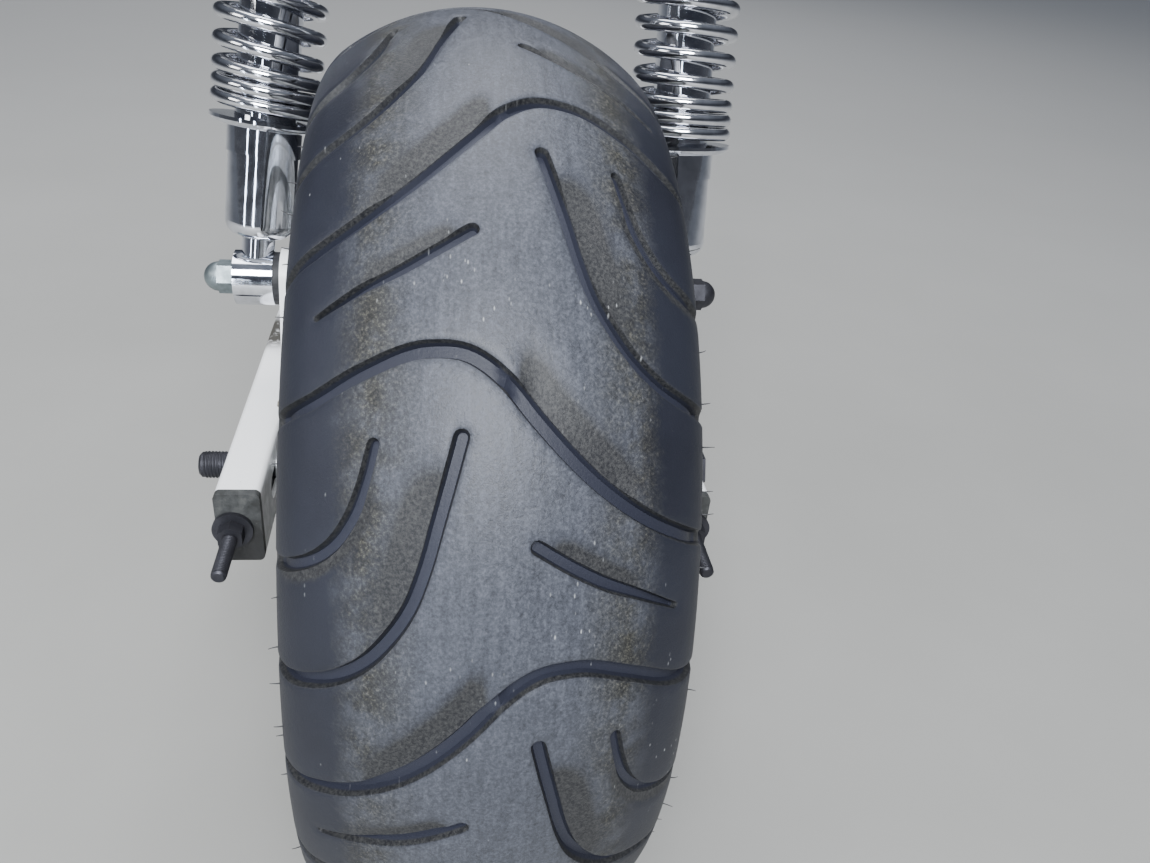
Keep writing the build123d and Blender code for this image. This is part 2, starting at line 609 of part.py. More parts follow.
def make_brake_panel():
    face = DRUM_MOUTH + FACE_GAP
    outline = Polyline(
        (AXLE_BORE, -RIGHT_BEARING_FACE - FACE_GAP),
        (PANEL_SPIGOT_RADIUS, -RIGHT_BEARING_FACE - FACE_GAP),
        (PANEL_CONE_RADIUS, -face + PANEL_STEP),
        (DRUM_INNER_RADIUS - PANEL_CLEARANCE, -face + PANEL_STEP),
        (DRUM_INNER_RADIUS - PANEL_CLEARANCE, -face),
        (DRUM_LIP_RADIUS - PANEL_EDGE_STEP, -face),
        (DRUM_LIP_RADIUS - PANEL_EDGE_STEP, -face - PANEL_WALL + PANEL_EDGE_SLOPE),
        (DRUM_INNER_RADIUS - PANEL_CLEARANCE - PANEL_EDGE_SLOPE, -face - PANEL_WALL),
        (PANEL_BOSS_RADIUS + PANEL_BOSS_SLOPE, -face - PANEL_WALL),
        (PANEL_BOSS_RADIUS, -PANEL_BOSS_END),
        (AXLE_BORE, -PANEL_BOSS_END),
        close=True,
    )
    panel = turned(outline)
    cam_x, cam_z = CAM_PLACE
    stay_x, stay_z = STAY_PLACE
    lug_end = PANEL_BOSS_END - FACE_GAP
    boss_end = face + PANEL_WALL + CAM_BOSS_HEIGHT
    panel += disc(CAM_BOSS_RADIUS, -face - CUT, -boss_end, x=cam_x, z=cam_z)
    panel += disc(STAY_BOSS_RADIUS, -face - CUT, -lug_end, x=stay_x, z=stay_z)
    panel -= disc(CAM_RADIUS + SEAT, 0, -boss_end - CUT, x=cam_x, z=cam_z)
    panel -= disc(STAY_PIN_RADIUS + SEAT, -face - STAY_HOLE_FLOOR, -lug_end - CUT, x=stay_x, z=stay_z)
    return at_wheel(panel)


def make_brake_lever():
    cam_x, cam_z = CAM_PLACE
    inner = -DRUM_MOUTH - PANEL_WALL - CAM_BOSS_HEIGHT - 2 * FACE_GAP
    outer = inner - LEVER_WALL
    tip_x = cam_x + LEVER_LENGTH * cos(radians(LEVER_ANGLE))
    tip_z = cam_z + LEVER_LENGTH * sin(radians(LEVER_ANGLE))
    blade = SlotCenterToCenter(LEVER_LENGTH, LEVER_WIDTH)
    middle = Pos((cam_x + tip_x) / 2, (cam_z + tip_z) / 2) * Rot(0, 0, LEVER_ANGLE) * blade
    outline = middle + Pos(cam_x, cam_z) * Circle(LEVER_BOSS_RADIUS)
    lever = Pos(0, inner, 0) * Rot(90, 0, 0) * extrude(outline, LEVER_WALL)
    lever += disc(CAM_RADIUS, outer - CAM_PROUD, -DRUM_MOUTH + CAM_INSIDE, x=cam_x, z=cam_z)
    lever -= disc(LEVER_HOLE, inner + CUT, outer - CUT, x=tip_x, z=tip_z)
    return at_wheel(lever)


def make_torque_stay():
    near_x, near_z = STAY_PLACE
    far_x, far_z = STAY_ANCHOR
    run = Vector(far_x - near_x, far_z - near_z)
    middle_x = (near_x + far_x) / 2
    middle_z = (near_z + far_z) / 2
    turn = degrees(atan2(run.Y, run.X))
    bar = Pos(middle_x, middle_z) * Rot(0, 0, turn) * SlotCenterToCenter(run.length, STAY_WIDTH)
    for x, z in (STAY_PLACE, STAY_ANCHOR):
        bar -= Pos(x, z) * Circle(STAY_PIN_RADIUS + SEAT)
    return Pos(AXLE_X, STAY_PLANE, 0) * Rot(90, 0, 0) * extrude(bar, STAY_WALL)


def make_stay_lug():
    x, z = STAY_ANCHOR
    lug = ring(STAY_BOSS_RADIUS, STAY_PIN_RADIUS + SEAT, -ARM_INNER, STAY_PLANE - STAY_WALL)
    return Pos(AXLE_X + x, 0, z) * lug


def make_stay_bolt(place, head_face, outward, shank_end):
    x, z = place
    bolt = disc(STAY_PIN_RADIUS, head_face, shank_end)
    bolt += hexagon(STAY_BOLT_HEAD, head_face, head_face + outward * STAY_BOLT_HEAD_HEIGHT)
    return Pos(AXLE_X + x, 0, z) * bolt


# Shock brackets

def make_bracket(side):
    eye_x, eye_z = EYE_PLACE
    x = AXLE_X + eye_x
    foot = ARM_HEIGHT / 2 - BRACKET_DROP
    head = Pos(x, eye_z) * Circle(BRACKET_HEAD_RADIUS)
    foot_length = 2 * (BRACKET_HALF_WIDTH + BRACKET_FLARE)
    waist = Pos(x, foot) * Rectangle(foot_length, BRACKET_DROP, align=(Align.CENTER, Align.MIN))
    outline = make_hull(head.edges() + waist.edges())
    plate = Rot(90, 0, 0) * extrude(outline, BRACKET_WALL)
    plate = Pos(0, ARM_INNER, 0) * plate
    stud_end = EYE_SIDE + EYE_WIDTH / 2 + NUT_HEX_HEIGHT + STUD_TIP
    bracket = plate + disc(STUD_RADIUS, BRACKET_INNER - STUD_ROOT, stud_end, x=x, z=eye_z)
    if side < 0:
        bracket = mirror(bracket, Plane.XZ)
    return bracket


def make_rubber_washer(side):
    eye_x, eye_z = EYE_PLACE
    eye_face = EYE_SIDE - EYE_WIDTH / 2
    washer = ring(RUBBER_WASHER_RADIUS, STUD_RADIUS + SEAT, side * ARM_INNER, side * eye_face)
    return Pos(AXLE_X + eye_x, 0, eye_z) * washer


def make_dome_nut(side):
    face = EYE_SIDE + EYE_WIDTH / 2
    hex_end = face + NUT_HEX_HEIGHT
    nut = hexagon(NUT_HEX, face, hex_end)
    dome_radius = (NUT_HEX ** 2 + NUT_DOME_HEIGHT ** 2) / 2 / NUT_DOME_HEIGHT
    dome = Pos(0, hex_end + NUT_DOME_HEIGHT - dome_radius, 0) * Sphere(dome_radius)
    dome &= disc(NUT_HEX, hex_end, hex_end + NUT_DOME_HEIGHT)
    nut = nut + dome - disc(STUD_RADIUS + SEAT, face - CUT, hex_end + STUD_TIP + STUD_TIP_GAP)
    if side < 0:
        nut = mirror(nut, Plane.XZ)
    eye_x, eye_z = EYE_PLACE
    return Pos(AXLE_X + eye_x, 0, eye_z) * nut


# Shock absorbers, built upright on the lower eye and then leaned

def shock_axis(side):
    eye_x, eye_z = EYE_PLACE
    foot = Vector(AXLE_X + eye_x, side * EYE_SIDE, eye_z)
    inward = LEAN_INWARD_LEFT if side > 0 else LEAN_INWARD_RIGHT
    lean = Vector(tan(radians(LEAN_FORWARD)), -side * tan(radians(inward)), 1).normalized()
    return foot, lean


def on_shock(side, shape):
    foot, lean = shock_axis(side)
    return Plane(origin=foot, x_dir=(1, 0, 0), z_dir=lean).location * shape


def upright_turned(outline):
    """Revolves an outline of (radius, height) about the Z axis."""
    return revolve(Rot(90, 0, 0) * make_face(outline), Axis.Z)


def eye_at(point):
    half = EYE_WIDTH / 2
    return disc(EYE_RADIUS, point.Y - half, point.Y + half, x=point.X, z=point.Z)


def eye_bore(point):
    half = EYE_WIDTH / 2 + CUT
    return disc(EYE_BORE, point.Y - half, point.Y + half, x=point.X, z=point.Z)


def make_damper(side):
    foot, lean = shock_axis(side)
    round_x = TUBE_RADIUS - TUBE_ROUND
    outline = Polyline(
        (0, NECK_START),
        (NECK_RADIUS, NECK_START),
        (NECK_RADIUS, TUBE_START),
        (round_x, TUBE_START),
    )
    outline += CenterArc((round_x, TUBE_START + TUBE_ROUND), TUBE_ROUND, -90, 90)
    outline += Polyline(
        (TUBE_RADIUS, TUBE_START + TUBE_ROUND),
        (TUBE_RADIUS, RING_START + RING_HEIGHT),
        (BODY_RADIUS, RING_START + RING_HEIGHT),
        (BODY_RADIUS, BODY_END - BODY_CHAMFER),
        (BODY_RADIUS - BODY_CHAMFER, BODY_END),
        (ROD_RADIUS + SEAT, BODY_END),
        (ROD_RADIUS + SEAT, BODY_END - ROD_INSIDE),
        (0, BODY_END - ROD_INSIDE),
        (0, NECK_START),
    )
    damper = on_shock(side, upright_turned(outline))
    return damper + eye_at(foot) - eye_bore(foot)


def make_seat(side):
    """Ring round the tube that flares into the bowl under the spring."""
    bowl_start = RING_START + RING_HEIGHT
    rim_start = SPRING_SEAT - BOWL_RIM
    outline = Polyline(
        (SPRING_RADIUS, rim_start),
        (SPRING_RADIUS, SPRING_SEAT),
        (BODY_RADIUS + SEAT, SPRING_SEAT),
        (BODY_RADIUS + SEAT, bowl_start + SEAT),
        (TUBE_RADIUS + SEAT, bowl_start + SEAT),
        (TUBE_RADIUS + SEAT, RING_START),
        (RING_RADIUS, RING_START),
        (RING_RADIUS, bowl_start),
        (BOWL_NECK_RADIUS, bowl_start),
    )
    outline += TangentArc((BOWL_NECK_RADIUS, bowl_start), (SPRING_RADIUS, rim_start), tangent=(1, 0))
    return on_shock(side, upright_turned(outline))


def coil_pitch(turn, turns):
    """Pitch at a turn: closed at both ends, open in the middle."""
    from_bottom = (turn - CLOSED_TURNS) / BLEND_TURNS
    from_top = (turns - TOP_CLOSED_TURNS - turn) / BLEND_TURNS
    share = max(0.0, min(1.0, from_bottom, from_top))
    return CLOSED_PITCH + (OPEN_PITCH - CLOSED_PITCH) * share


def make_spring(side):
    height = COVER_START - SPRING_SEAT - 2 * WIRE_RADIUS - 4 * SEAT
    closed = (CLOSED_TURNS + TOP_CLOSED_TURNS + BLEND_TURNS) * CLOSED_PITCH + BLEND_TURNS * OPEN_PITCH
    turns = CLOSED_TURNS + TOP_CLOSED_TURNS + 2 * BLEND_TURNS + (height - closed) / OPEN_PITCH
    steps = round(turns * POINTS_PER_TURN)
    places = []
    level = 0.0
    for step in range(steps + 1):
        turn = turns * step / steps
        angle = COIL_HAND * 2 * pi * turn
        places.append((COIL_RADIUS * cos(angle), COIL_RADIUS * sin(angle), level))
        level += coil_pitch(turn + turns / steps / 2, turns) * turns / steps
    whole = Spline(*places)
    pieces = round(turns)
    path = Wire([whole.trim(number / pieces, (number + 1) / pieces) for number in range(pieces)])
    section = Plane(origin=path @ 0, z_dir=path % 0) * Circle(WIRE_RADIUS)
    coil = sweep(section, path=path, is_frenet=True)
    return on_shock(side, Pos(0, 0, SPRING_SEAT + WIRE_RADIUS + SEAT) * coil)


def make_cover(side):
    foot, lean = shock_axis(side)
    top = COVER_START + COVER_HEIGHT
    outline = Polyline(
        (0, BODY_END - ROD_INSIDE + ROD_END_GAP),
        (ROD_RADIUS, BODY_END - ROD_INSIDE + ROD_END_GAP),
        (ROD_RADIUS, COVER_START),
        (COVER_RADIUS - COVER_WALL, COVER_START),
        (COVER_RADIUS - COVER_WALL, COVER_START - COVER_SKIRT),
        (COVER_RADIUS, COVER_START - COVER_SKIRT),
        (COVER_RADIUS, COVER_START + COVER_BAND),
        (COVER_TOP_RADIUS, top),
        (NECK_RADIUS, top + COVER_NECK_RISE),
        (NECK_RADIUS, EYE_TO_EYE - NECK_END),
        (0, EYE_TO_EYE - NECK_END),
        close=True,
    )
    cover = on_shock(side, upright_turned(outline))
    upper = foot + lean * EYE_TO_EYE
    return cover + eye_at(upper) - eye_bore(upper)


def make_eye_rubber(point, bore):
    half = EYE_WIDTH / 2
    return ring(RUBBER_RADIUS, bore, point.Y - half, point.Y + half, x=point.X, z=point.Z)


def make_eye_sleeve(point):
    half = EYE_WIDTH / 2 + SLEEVE_PROUD
    return ring(SLEEVE_BORE + SLEEVE_WALL, SLEEVE_BORE, point.Y - half, point.Y + half, x=point.X, z=point.Z)


# All nodes

def make_nodes():
    nodes = {}
    nodes["tyre"] = make_tyre()
    nodes["hub"] = make_hub()
    nodes["sprocket"] = make_sprocket()
    nodes["valve_stem"] = make_valve()
    for name, side in SIDES:
        nodes[f"rim_{name}"] = make_rim(side)
        nodes[f"bearing_{name}"] = make_bearing(name)
    for number in range(RIM_BOLT_COUNT):
        nodes[f"rim_bolt_{number + 1}"] = make_rim_bolt(number)
    for number in range(SPROCKET_BOLT_COUNT):
        nodes[f"sprocket_bolt_{number + 1}"] = make_sprocket_bolt(number)
    nodes["pivot_tube"] = make_pivot_tube()
    nodes["pivot_sleeve"] = make_pivot_sleeve()
    nodes["cross_brace"] = make_cross_brace()
    nodes["axle"] = make_axle()
    nodes["brake_panel"] = make_brake_panel()
    nodes["brake_lever"] = make_brake_lever()
    nodes["torque_stay"] = make_torque_stay()
    nodes["torque_stay_lug"] = make_stay_lug()
    stay_outer = STAY_PLANE - STAY_WALL
    hole_floor = WHEEL_OFFSET - DRUM_MOUTH - FACE_GAP - STAY_HOLE_FLOOR - SEAT
    nodes["torque_stay_bolt_rear"] = make_stay_bolt(STAY_PLACE, stay_outer, -1, hole_floor)
    nodes["torque_stay_bolt_front"] = make_stay_bolt(STAY_ANCHOR, STAY_PLANE, 1, -ARM_INNER)
    for name, side in SIDES:
        nodes[f"arm_{name}"] = make_arm(side)
        nodes[f"arm_end_{name}"] = make_end_plate(side)
        nodes[f"chain_adjuster_{name}"] = make_adjuster(side)
        nodes[f"adjuster_nut_{name}"] = make_adjuster_nut(side)
        nodes[f"pivot_bush_{name}"] = make_pivot_bush(side)
        nodes[f"axle_collar_{name}"] = make_collar(name)
        nodes[f"shock_bracket_{name}"] = make_bracket(side)
        nodes[f"stud_washer_{name}"] = make_rubber_washer(side)
        nodes[f"dome_nut_{name}"] = make_dome_nut(side)
        nodes[f"damper_{name}"] = make_damper(side)
        nodes[f"spring_seat_{name}"] = make_seat(side)
        nodes[f"spring_{name}"] = make_spring(side)
        foot, lean = shock_axis(side)
        top = foot + lean * EYE_TO_EYE
        nodes[f"lower_eye_rubber_{name}"] = make_eye_rubber(foot, STUD_RADIUS + SEAT)
        nodes[f"upper_eye_rubber_{name}"] = make_eye_rubber(top, SLEEVE_BORE + SLEEVE_WALL + SEAT)
        nodes[f"upper_eye_sleeve_{name}"] = make_eye_sleeve(top)
        nodes[f"shock_cover_{name}"] = make_cover(side)
    return nodes


if __name__ == "__main__":
    os.makedirs("parts", exist_ok=True)
    for node, shape in make_nodes().items():
        export_step(shape, f"parts/{node}.step")
        print(node, round(shape.volume / 1000, 1), "cm3")
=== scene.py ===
import json
import random
from math import asin, atan2, cos, pi, radians, sin, sqrt, tan

import bmesh
import bpy
import numpy as np
from mathutils import Matrix, Vector
from mathutils.geometry import delaunay_2d_cdt


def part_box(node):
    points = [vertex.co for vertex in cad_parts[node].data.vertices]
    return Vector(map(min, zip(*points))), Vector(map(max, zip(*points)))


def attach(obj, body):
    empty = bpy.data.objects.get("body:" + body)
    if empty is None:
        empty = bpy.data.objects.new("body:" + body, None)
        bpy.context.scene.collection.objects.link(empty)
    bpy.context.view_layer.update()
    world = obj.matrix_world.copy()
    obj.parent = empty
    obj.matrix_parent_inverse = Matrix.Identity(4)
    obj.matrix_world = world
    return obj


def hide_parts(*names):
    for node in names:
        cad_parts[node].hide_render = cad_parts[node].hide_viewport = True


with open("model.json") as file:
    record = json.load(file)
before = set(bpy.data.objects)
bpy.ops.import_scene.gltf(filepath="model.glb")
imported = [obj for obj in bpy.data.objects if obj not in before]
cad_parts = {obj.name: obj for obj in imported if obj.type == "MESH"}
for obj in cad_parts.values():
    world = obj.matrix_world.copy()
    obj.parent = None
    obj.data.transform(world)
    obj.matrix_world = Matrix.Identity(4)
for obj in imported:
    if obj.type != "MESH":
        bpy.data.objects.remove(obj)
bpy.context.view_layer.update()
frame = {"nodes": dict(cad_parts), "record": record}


# Places and sizes, in metres

MM = 1000  # in a metre
TYRE_LOW, TYRE_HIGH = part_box("tyre")
WHEEL = (TYRE_LOW + TYRE_HIGH) / 2
TYRE_WIDTH = TYRE_HIGH.y - TYRE_LOW.y

# Tyre section, as in the solid
TYRE_RADIUS = 0.205
CROWN_RADIUS = 0.092
SHOULDER_RADIUS = 0.026
SHOULDER_TILT = asin((TYRE_WIDTH / 2 - SHOULDER_RADIUS) / (CROWN_RADIUS - SHOULDER_RADIUS))
SHOULDER_WRAP = radians(35.0)  # past the widest place
RIM_HALF = 0.04445
FLANGE_RADIUS = 0.1395
SEAT_RADIUS = 0.127

# Brackets and sides
BRACKET_FOOT = 0.060
BRACKET_WALL = 0.005
STUD_RADIUS = 0.005
SIDES = (("left", 1), ("right", -1))

# Camera
PHOTO_WIDTH = 1150  # px
PHOTO_FOCAL = 930.0  # px
SENSOR_WIDTH = 36.0  # mm
CLIP_START = 0.01
CAMERA_DISTANCE = 0.4579  # from the wheel's centre, in the wheel's plane
CAMERA_RISE = radians(33.80)
CAMERA_SIDE = 0.0199
CAMERA_YAW = radians(10.22)
CAMERA_PITCH = radians(31.15)
CAMERA_ROLL = radians(6.17)

# Floor
FLOOR_GAP = 0.0005  # floor below the tyre
FLOOR_HALF = 60.0
FLOOR_FADE = 1.7  # from the wheel to where the floor's painted light is half way to its palest
FLOOR_CLOSE = ((0.3, (0.29, 0.287, 0.270)), (0.7, (0.335, 0.33, 0.314)))
# painted light: the floor's colour far from the wheel, paler where the lamps light it less
FLOOR_FAR_PAINTED_LIGHT = (0.85, 0.845, 0.82)

# Lights, with places and aims from the wheel's centre
ABOVE_AXLE = (0, 0, 0.05)
STRIP = (0.07, 0.55)
STRIP_COLOUR = (0.78, 0.87, 1.0)
LIGHTS = (
    # name, place, aim, size, watts, colour
    ("rear_softbox", (-1.12, 0.10, 1.10), ABOVE_AXLE, (0.7, 0.6), 50, (0.93, 0.96, 1.0)),
    ("overhead_softbox", (0.35, 0.1, 1.6), ABOVE_AXLE, (1.2, 1.0), 22, (0.95, 0.97, 1.0)),
    ("front_softbox", (2.8, 0, 3.0), (2.8, 0, 0), (2.4, 2.0), 40, (0.97, 0.98, 1.0)),
    ("low_strip", (-1.25, 0.42, 0.12), ABOVE_AXLE, STRIP, 2.6, STRIP_COLOUR),
    ("side_strip", (-0.95, 1.05, 0.10), ABOVE_AXLE, STRIP, 2.2, STRIP_COLOUR),
    ("left_softbox", (-0.6, 1.4, 0.8), ABOVE_AXLE, (0.6, 0.6), 6.5, (1.0, 0.99, 0.97)),
)
# height of the direction, from level to straight up, and colour
SKY = ((0.0, (0.22, 0.23, 0.26)), (0.22, (0.08, 0.09, 0.12)), (1.0, (0.62, 0.68, 0.80)))
SKY_STRENGTH = 0.4


# Camera, floor and light

def add_object(name, data):
    thing = bpy.data.objects.new(name, data)
    bpy.context.collection.objects.link(thing)
    return thing


def make_camera():
    place = WHEEL + Vector((
        -CAMERA_DISTANCE * cos(CAMERA_RISE),
        CAMERA_SIDE,
        CAMERA_DISTANCE * sin(CAMERA_RISE),
    ))
    ahead = Vector((
        cos(CAMERA_YAW) * cos(CAMERA_PITCH),
        -sin(CAMERA_YAW) * cos(CAMERA_PITCH),
        -sin(CAMERA_PITCH),
    ))
    level_right = Vector((-sin(CAMERA_YAW), -cos(CAMERA_YAW), 0))
    level_up = level_right.cross(ahead)
    right = cos(CAMERA_ROLL) * level_right + sin(CAMERA_ROLL) * level_up
    up = cos(CAMERA_ROLL) * level_up - sin(CAMERA_ROLL) * level_right
    data = bpy.data.cameras.new("photo_camera")
    data.sensor_width = SENSOR_WIDTH
    data.lens = PHOTO_FOCAL / PHOTO_WIDTH * data.sensor_width
    data.clip_start = CLIP_START
    camera = add_object("photo_camera", data)
    axes = Matrix((right, up, -ahead)).transposed()
    camera.matrix_world = Matrix.Translation(place) @ axes.to_4x4()
    bpy.context.scene.camera = camera


def make_floor():
    corners = [(x * FLOOR_HALF, y * FLOOR_HALF, 0) for x, y in ((-1, -1), (1, -1), (1, 1), (-1, 1))]
    mesh = bpy.data.meshes.new("floor")
    mesh.from_pydata(corners, [], [(0, 1, 2, 3)])
    floor = add_object("floor", mesh)
    floor.location = (WHEEL.x, 0, -TYRE_RADIUS - FLOOR_GAP)
    mesh.materials.append(floor_paint())


def make_light(name, place, aim, size, power, colour):
    data = bpy.data.lights.new(name, "AREA")
    data.shape = "RECTANGLE"
    data.size, data.size_y = size
    data.energy = power
    data.color = colour
    lamp = add_object(name, data)
    lamp.location = WHEEL + Vector(place)
    lamp.rotation_euler = (Vector(aim) - Vector(place)).to_track_quat("-Z", "Y").to_euler()


def make_world():
    """Soft surroundings: grey at the horizon, dark just above it and pale overhead."""
    world = bpy.data.worlds.new("studio")
    bpy.context.scene.world = world
    world.use_nodes = True
    nodes = world.node_tree.nodes
    links = world.node_tree.links
    backdrop = nodes["Background"]
    place = nodes.new("ShaderNodeTexCoord")
    parts = nodes.new("ShaderNodeSeparateXYZ")
    ramp = nodes.new("ShaderNodeValToRGB")
    fill_ramp(ramp, SKY)
    links.new(place.outputs["Generated"], parts.inputs[0])
    links.new(parts.outputs["Z"], ramp.inputs["Fac"])
    links.new(ramp.outputs["Color"], backdrop.inputs["Color"])
    backdrop.inputs["Strength"].default_value = SKY_STRENGTH


# Material helpers. The stops of a ramp are pairs of a position and a colour or a value.

def fill_ramp(node, stops):
    elements = node.color_ramp.elements
    for index, (position, colour) in enumerate(stops):
        element = elements[index] if index < 2 else elements.new(position)
        element.position = position
        element.color = (*colour, 1)


def set_inputs(node, **values):
    for name, value in values.items():
        node.inputs[name.replace("_", " ")].default_value = value


class Paint:
    """A node material built from short named steps."""

    def __init__(self, name):
        self.material = bpy.data.materials.new(name)
        self.material.use_nodes = True
        self.nodes = self.material.node_tree.nodes
        self.links = self.material.node_tree.links
        self.shader = self.nodes["Principled BSDF"]
        self.place = self.nodes.new("ShaderNodeTexCoord").outputs["Object"]

    def set(self, **values):
        set_inputs(self.shader, **values)

    def join(self, value, socket):
        """Links another node's output to a socket, or sets the socket to a number or a colour."""
        if isinstance(value, bpy.types.NodeSocket):
            self.links.new(value, socket)
        elif isinstance(value, tuple):
            socket.default_value = (*value, 1)
        else:
            socket.default_value = value

    def attribute(self, name):
        node = self.nodes.new("ShaderNodeAttribute")
        node.attribute_name = name
        return node.outputs["Fac"]

    def axes(self):
        """The place on the surface along X, Y and Z."""
        parts = self.nodes.new("ShaderNodeSeparateXYZ")
        self.links.new(self.place, parts.inputs[0])
        return parts.outputs

    def joined(self, x, y, z=0.0):
        node = self.nodes.new("ShaderNodeCombineXYZ")
        for value, socket in zip((x, y, z), node.inputs):
            self.join(value, socket)
        return node.outputs[0]

    def unrolled(self, around_scale, side_scale):
        """The tyre's surface laid flat: along its length and across, each with its own scale."""
        x, y, z = self.axes()
        back = self.maths("SUBTRACT", WHEEL.x, x)
        rise = self.maths("SUBTRACT", z, WHEEL.z)
        turn = self.maths("ARCTAN2", back, rise)
        along = self.times(turn, TYRE_RADIUS * around_scale)
        return self.joined(along, self.times(y, side_scale))

    def near(self, place, inner, outer):
        """One within a distance of a place on either side of the middle plane, fading to nothing."""
        x, y, z = self.axes()
        gap = self.nodes.new("ShaderNodeVectorMath")
        gap.operation = "DISTANCE"
        self.links.new(self.joined(x, self.maths("ABSOLUTE", y), z), gap.inputs[0])
        gap.inputs[1].default_value = place
        return self.fall(gap.outputs["Value"], inner, outer)

    def noise(self, scale, detail, rough=0.55, vector=None):
        node = self.nodes.new("ShaderNodeTexNoise")
        set_inputs(node, Scale=scale, Detail=detail, Roughness=rough)
        self.links.new(vector or self.place, node.inputs["Vector"])
        return node.outputs["Fac"]

    def cells(self, vector):
        node = self.nodes.new("ShaderNodeTexVoronoi")
        set_inputs(node, Scale=1.0)
        self.links.new(vector, node.inputs["Vector"])
        return node.outputs["Distance"]

    def ramp(self, source, *stops):
        node = self.nodes.new("ShaderNodeValToRGB")
        self.links.new(source, node.inputs["Fac"])
        fill_ramp(node, stops)
        return node.outputs["Color"]

    def grey(self, source, *stops):
        return self.ramp(source, *[(position, (value,) * 3) for position, value in stops])

    def rise(self, source, low, high):
        return self.grey(source, (low, 0.0), (high, 1.0))

    def fall(self, source, low, high):
        return self.grey(source, (low, 1.0), (high, 0.0))

    def mix(self, share, first, second):
        """Mixes two colours, which are the node's inputs 6 and 7 and its output 2."""
        node = self.nodes.new("ShaderNodeMix")
        node.data_type = "RGBA"
        self.join(share, node.inputs[0])
        self.join(first, node.inputs[6])
        self.join(second, node.inputs[7])
        return node.outputs[2]

    def maths(self, operation, first, second=0.0):
        node = self.nodes.new("ShaderNodeMath")
        node.operation = operation
        self.join(first, node.inputs[0])
        self.join(second, node.inputs[1])
        return node.outputs[0]

    def times(self, first, second):
        return self.maths("MULTIPLY", first, second)

    def colour(self, value):
        self.join(value, self.shader.inputs["Base Color"])

    def rough(self, value):
        self.join(value, self.shader.inputs["Roughness"])

    def bump(self, height, strength, distance):
        node = self.nodes.new("ShaderNodeBump")
        set_inputs(node, Strength=strength, Distance=distance)
        self.links.new(height, node.inputs["Height"])
        self.links.new(node.outputs["Normal"], self.shader.inputs["Normal"])


def floor_paint():
    """Pale floor with painted light: paler away from the wheel, to make up for the lamps' light that falls
    off there.
    """
    paint = Paint("pale_floor")
    cloud = paint.noise(2.5, detail=5.0)
    x, y, _ = paint.axes()
    spread = paint.maths("ADD", paint.maths("POWER", x, 2.0), paint.maths("POWER", y, 2.0))
    # painted light: share of the far, paler colour, growing with distance from the wheel
    share = paint.maths("DIVIDE", spread, paint.maths("ADD", spread, FLOOR_FADE ** 2))
    paint.colour(paint.mix(share, paint.ramp(cloud, *FLOOR_CLOSE), FLOOR_FAR_PAINTED_LIGHT))
    paint.set(Roughness=0.8)
    return paint.material


# Metals and plain rubber

CHROMES = (
    # slot, material, tint, haze added to the roughness
    ("chrome", "bright_chrome", (0.82, 0.84, 0.90), 0.0),
    ("spring_chrome", "spring_chrome", (0.80, 0.81, 0.85), 0.05),
)
METALS = (
    # slot, material, colour, roughness, metallic
    ("hub_alloy", "cast_alloy", (0.55, 0.56, 0.57), 0.42, 1.0),
    ("rim_alloy", "turned_alloy", (0.74, 0.75, 0.76), 0.26, 1.0),
    ("sprocket_steel", "sprocket_steel", (0.38, 0.37, 0.36), 0.38, 1.0),
    ("bearing_steel", "ground_steel", (0.62, 0.62, 0.63), 0.25, 1.0),
    ("zinc_steel", "zinc_steel", (0.62, 0.64, 0.66), 0.3, 1.0),
    ("zinc_dome", "pale_zinc", (0.33, 0.385, 0.405), 0.40, 1.0),
    ("dark_steel", "black_steel", (0.050, 0.050, 0.060), 0.42, 0.7),
)
CHROME_CLOUD = 0.72  # brightness of the cloudy patches
METAL_CLOUD = 0.55
BLACK_RUBBER = ((0.3, (0.012, 0.012, 0.014)), (0.7, (0.04, 0.04, 0.044)))


def chrome_paint(name, tint, haze):
    paint = Paint(name)
    cloud = paint.noise(140.0, detail=5.0, rough=0.6)
    clouded = tuple(CHROME_CLOUD * c for c in tint)
    paint.set(Metallic=1.0)
    paint.colour(paint.ramp(cloud, (0.25, clouded), (0.6, tint)))
    paint.rough(paint.grey(cloud, (0.3, 0.04 + haze), (0.75, 0.13 + haze)))
    paint.bump(paint.noise(60.0, detail=3.0), strength=0.12, distance=0.0004)
    return paint.material


def metal_paint(name, colour, roughness, metallic):
    paint = Paint(name)
    cloud = paint.noise(110.0, detail=6.0, rough=0.6)
    clouded = tuple(METAL_CLOUD * c for c in colour)
    paint.set(Metallic=metallic)
    paint.colour(paint.ramp(cloud, (0.3, clouded), (0.62, colour)))
    paint.rough(paint.grey(cloud, (0.3, roughness + 0.15), (0.7, roughness)))
    paint.bump(paint.noise(900.0, detail=3.0), strength=0.25, distance=0.0002)
    return paint.material


def plain_rubber():
    paint = Paint("plain_black_rubber")
    cloud = paint.noise(160.0, detail=4.0)
    paint.colour(paint.ramp(cloud, *BLACK_RUBBER))
    paint.set(Roughness=0.62)
    paint.bump(paint.noise(700.0, detail=3.0), strength=0.3, distance=0.0002)
    return paint.material
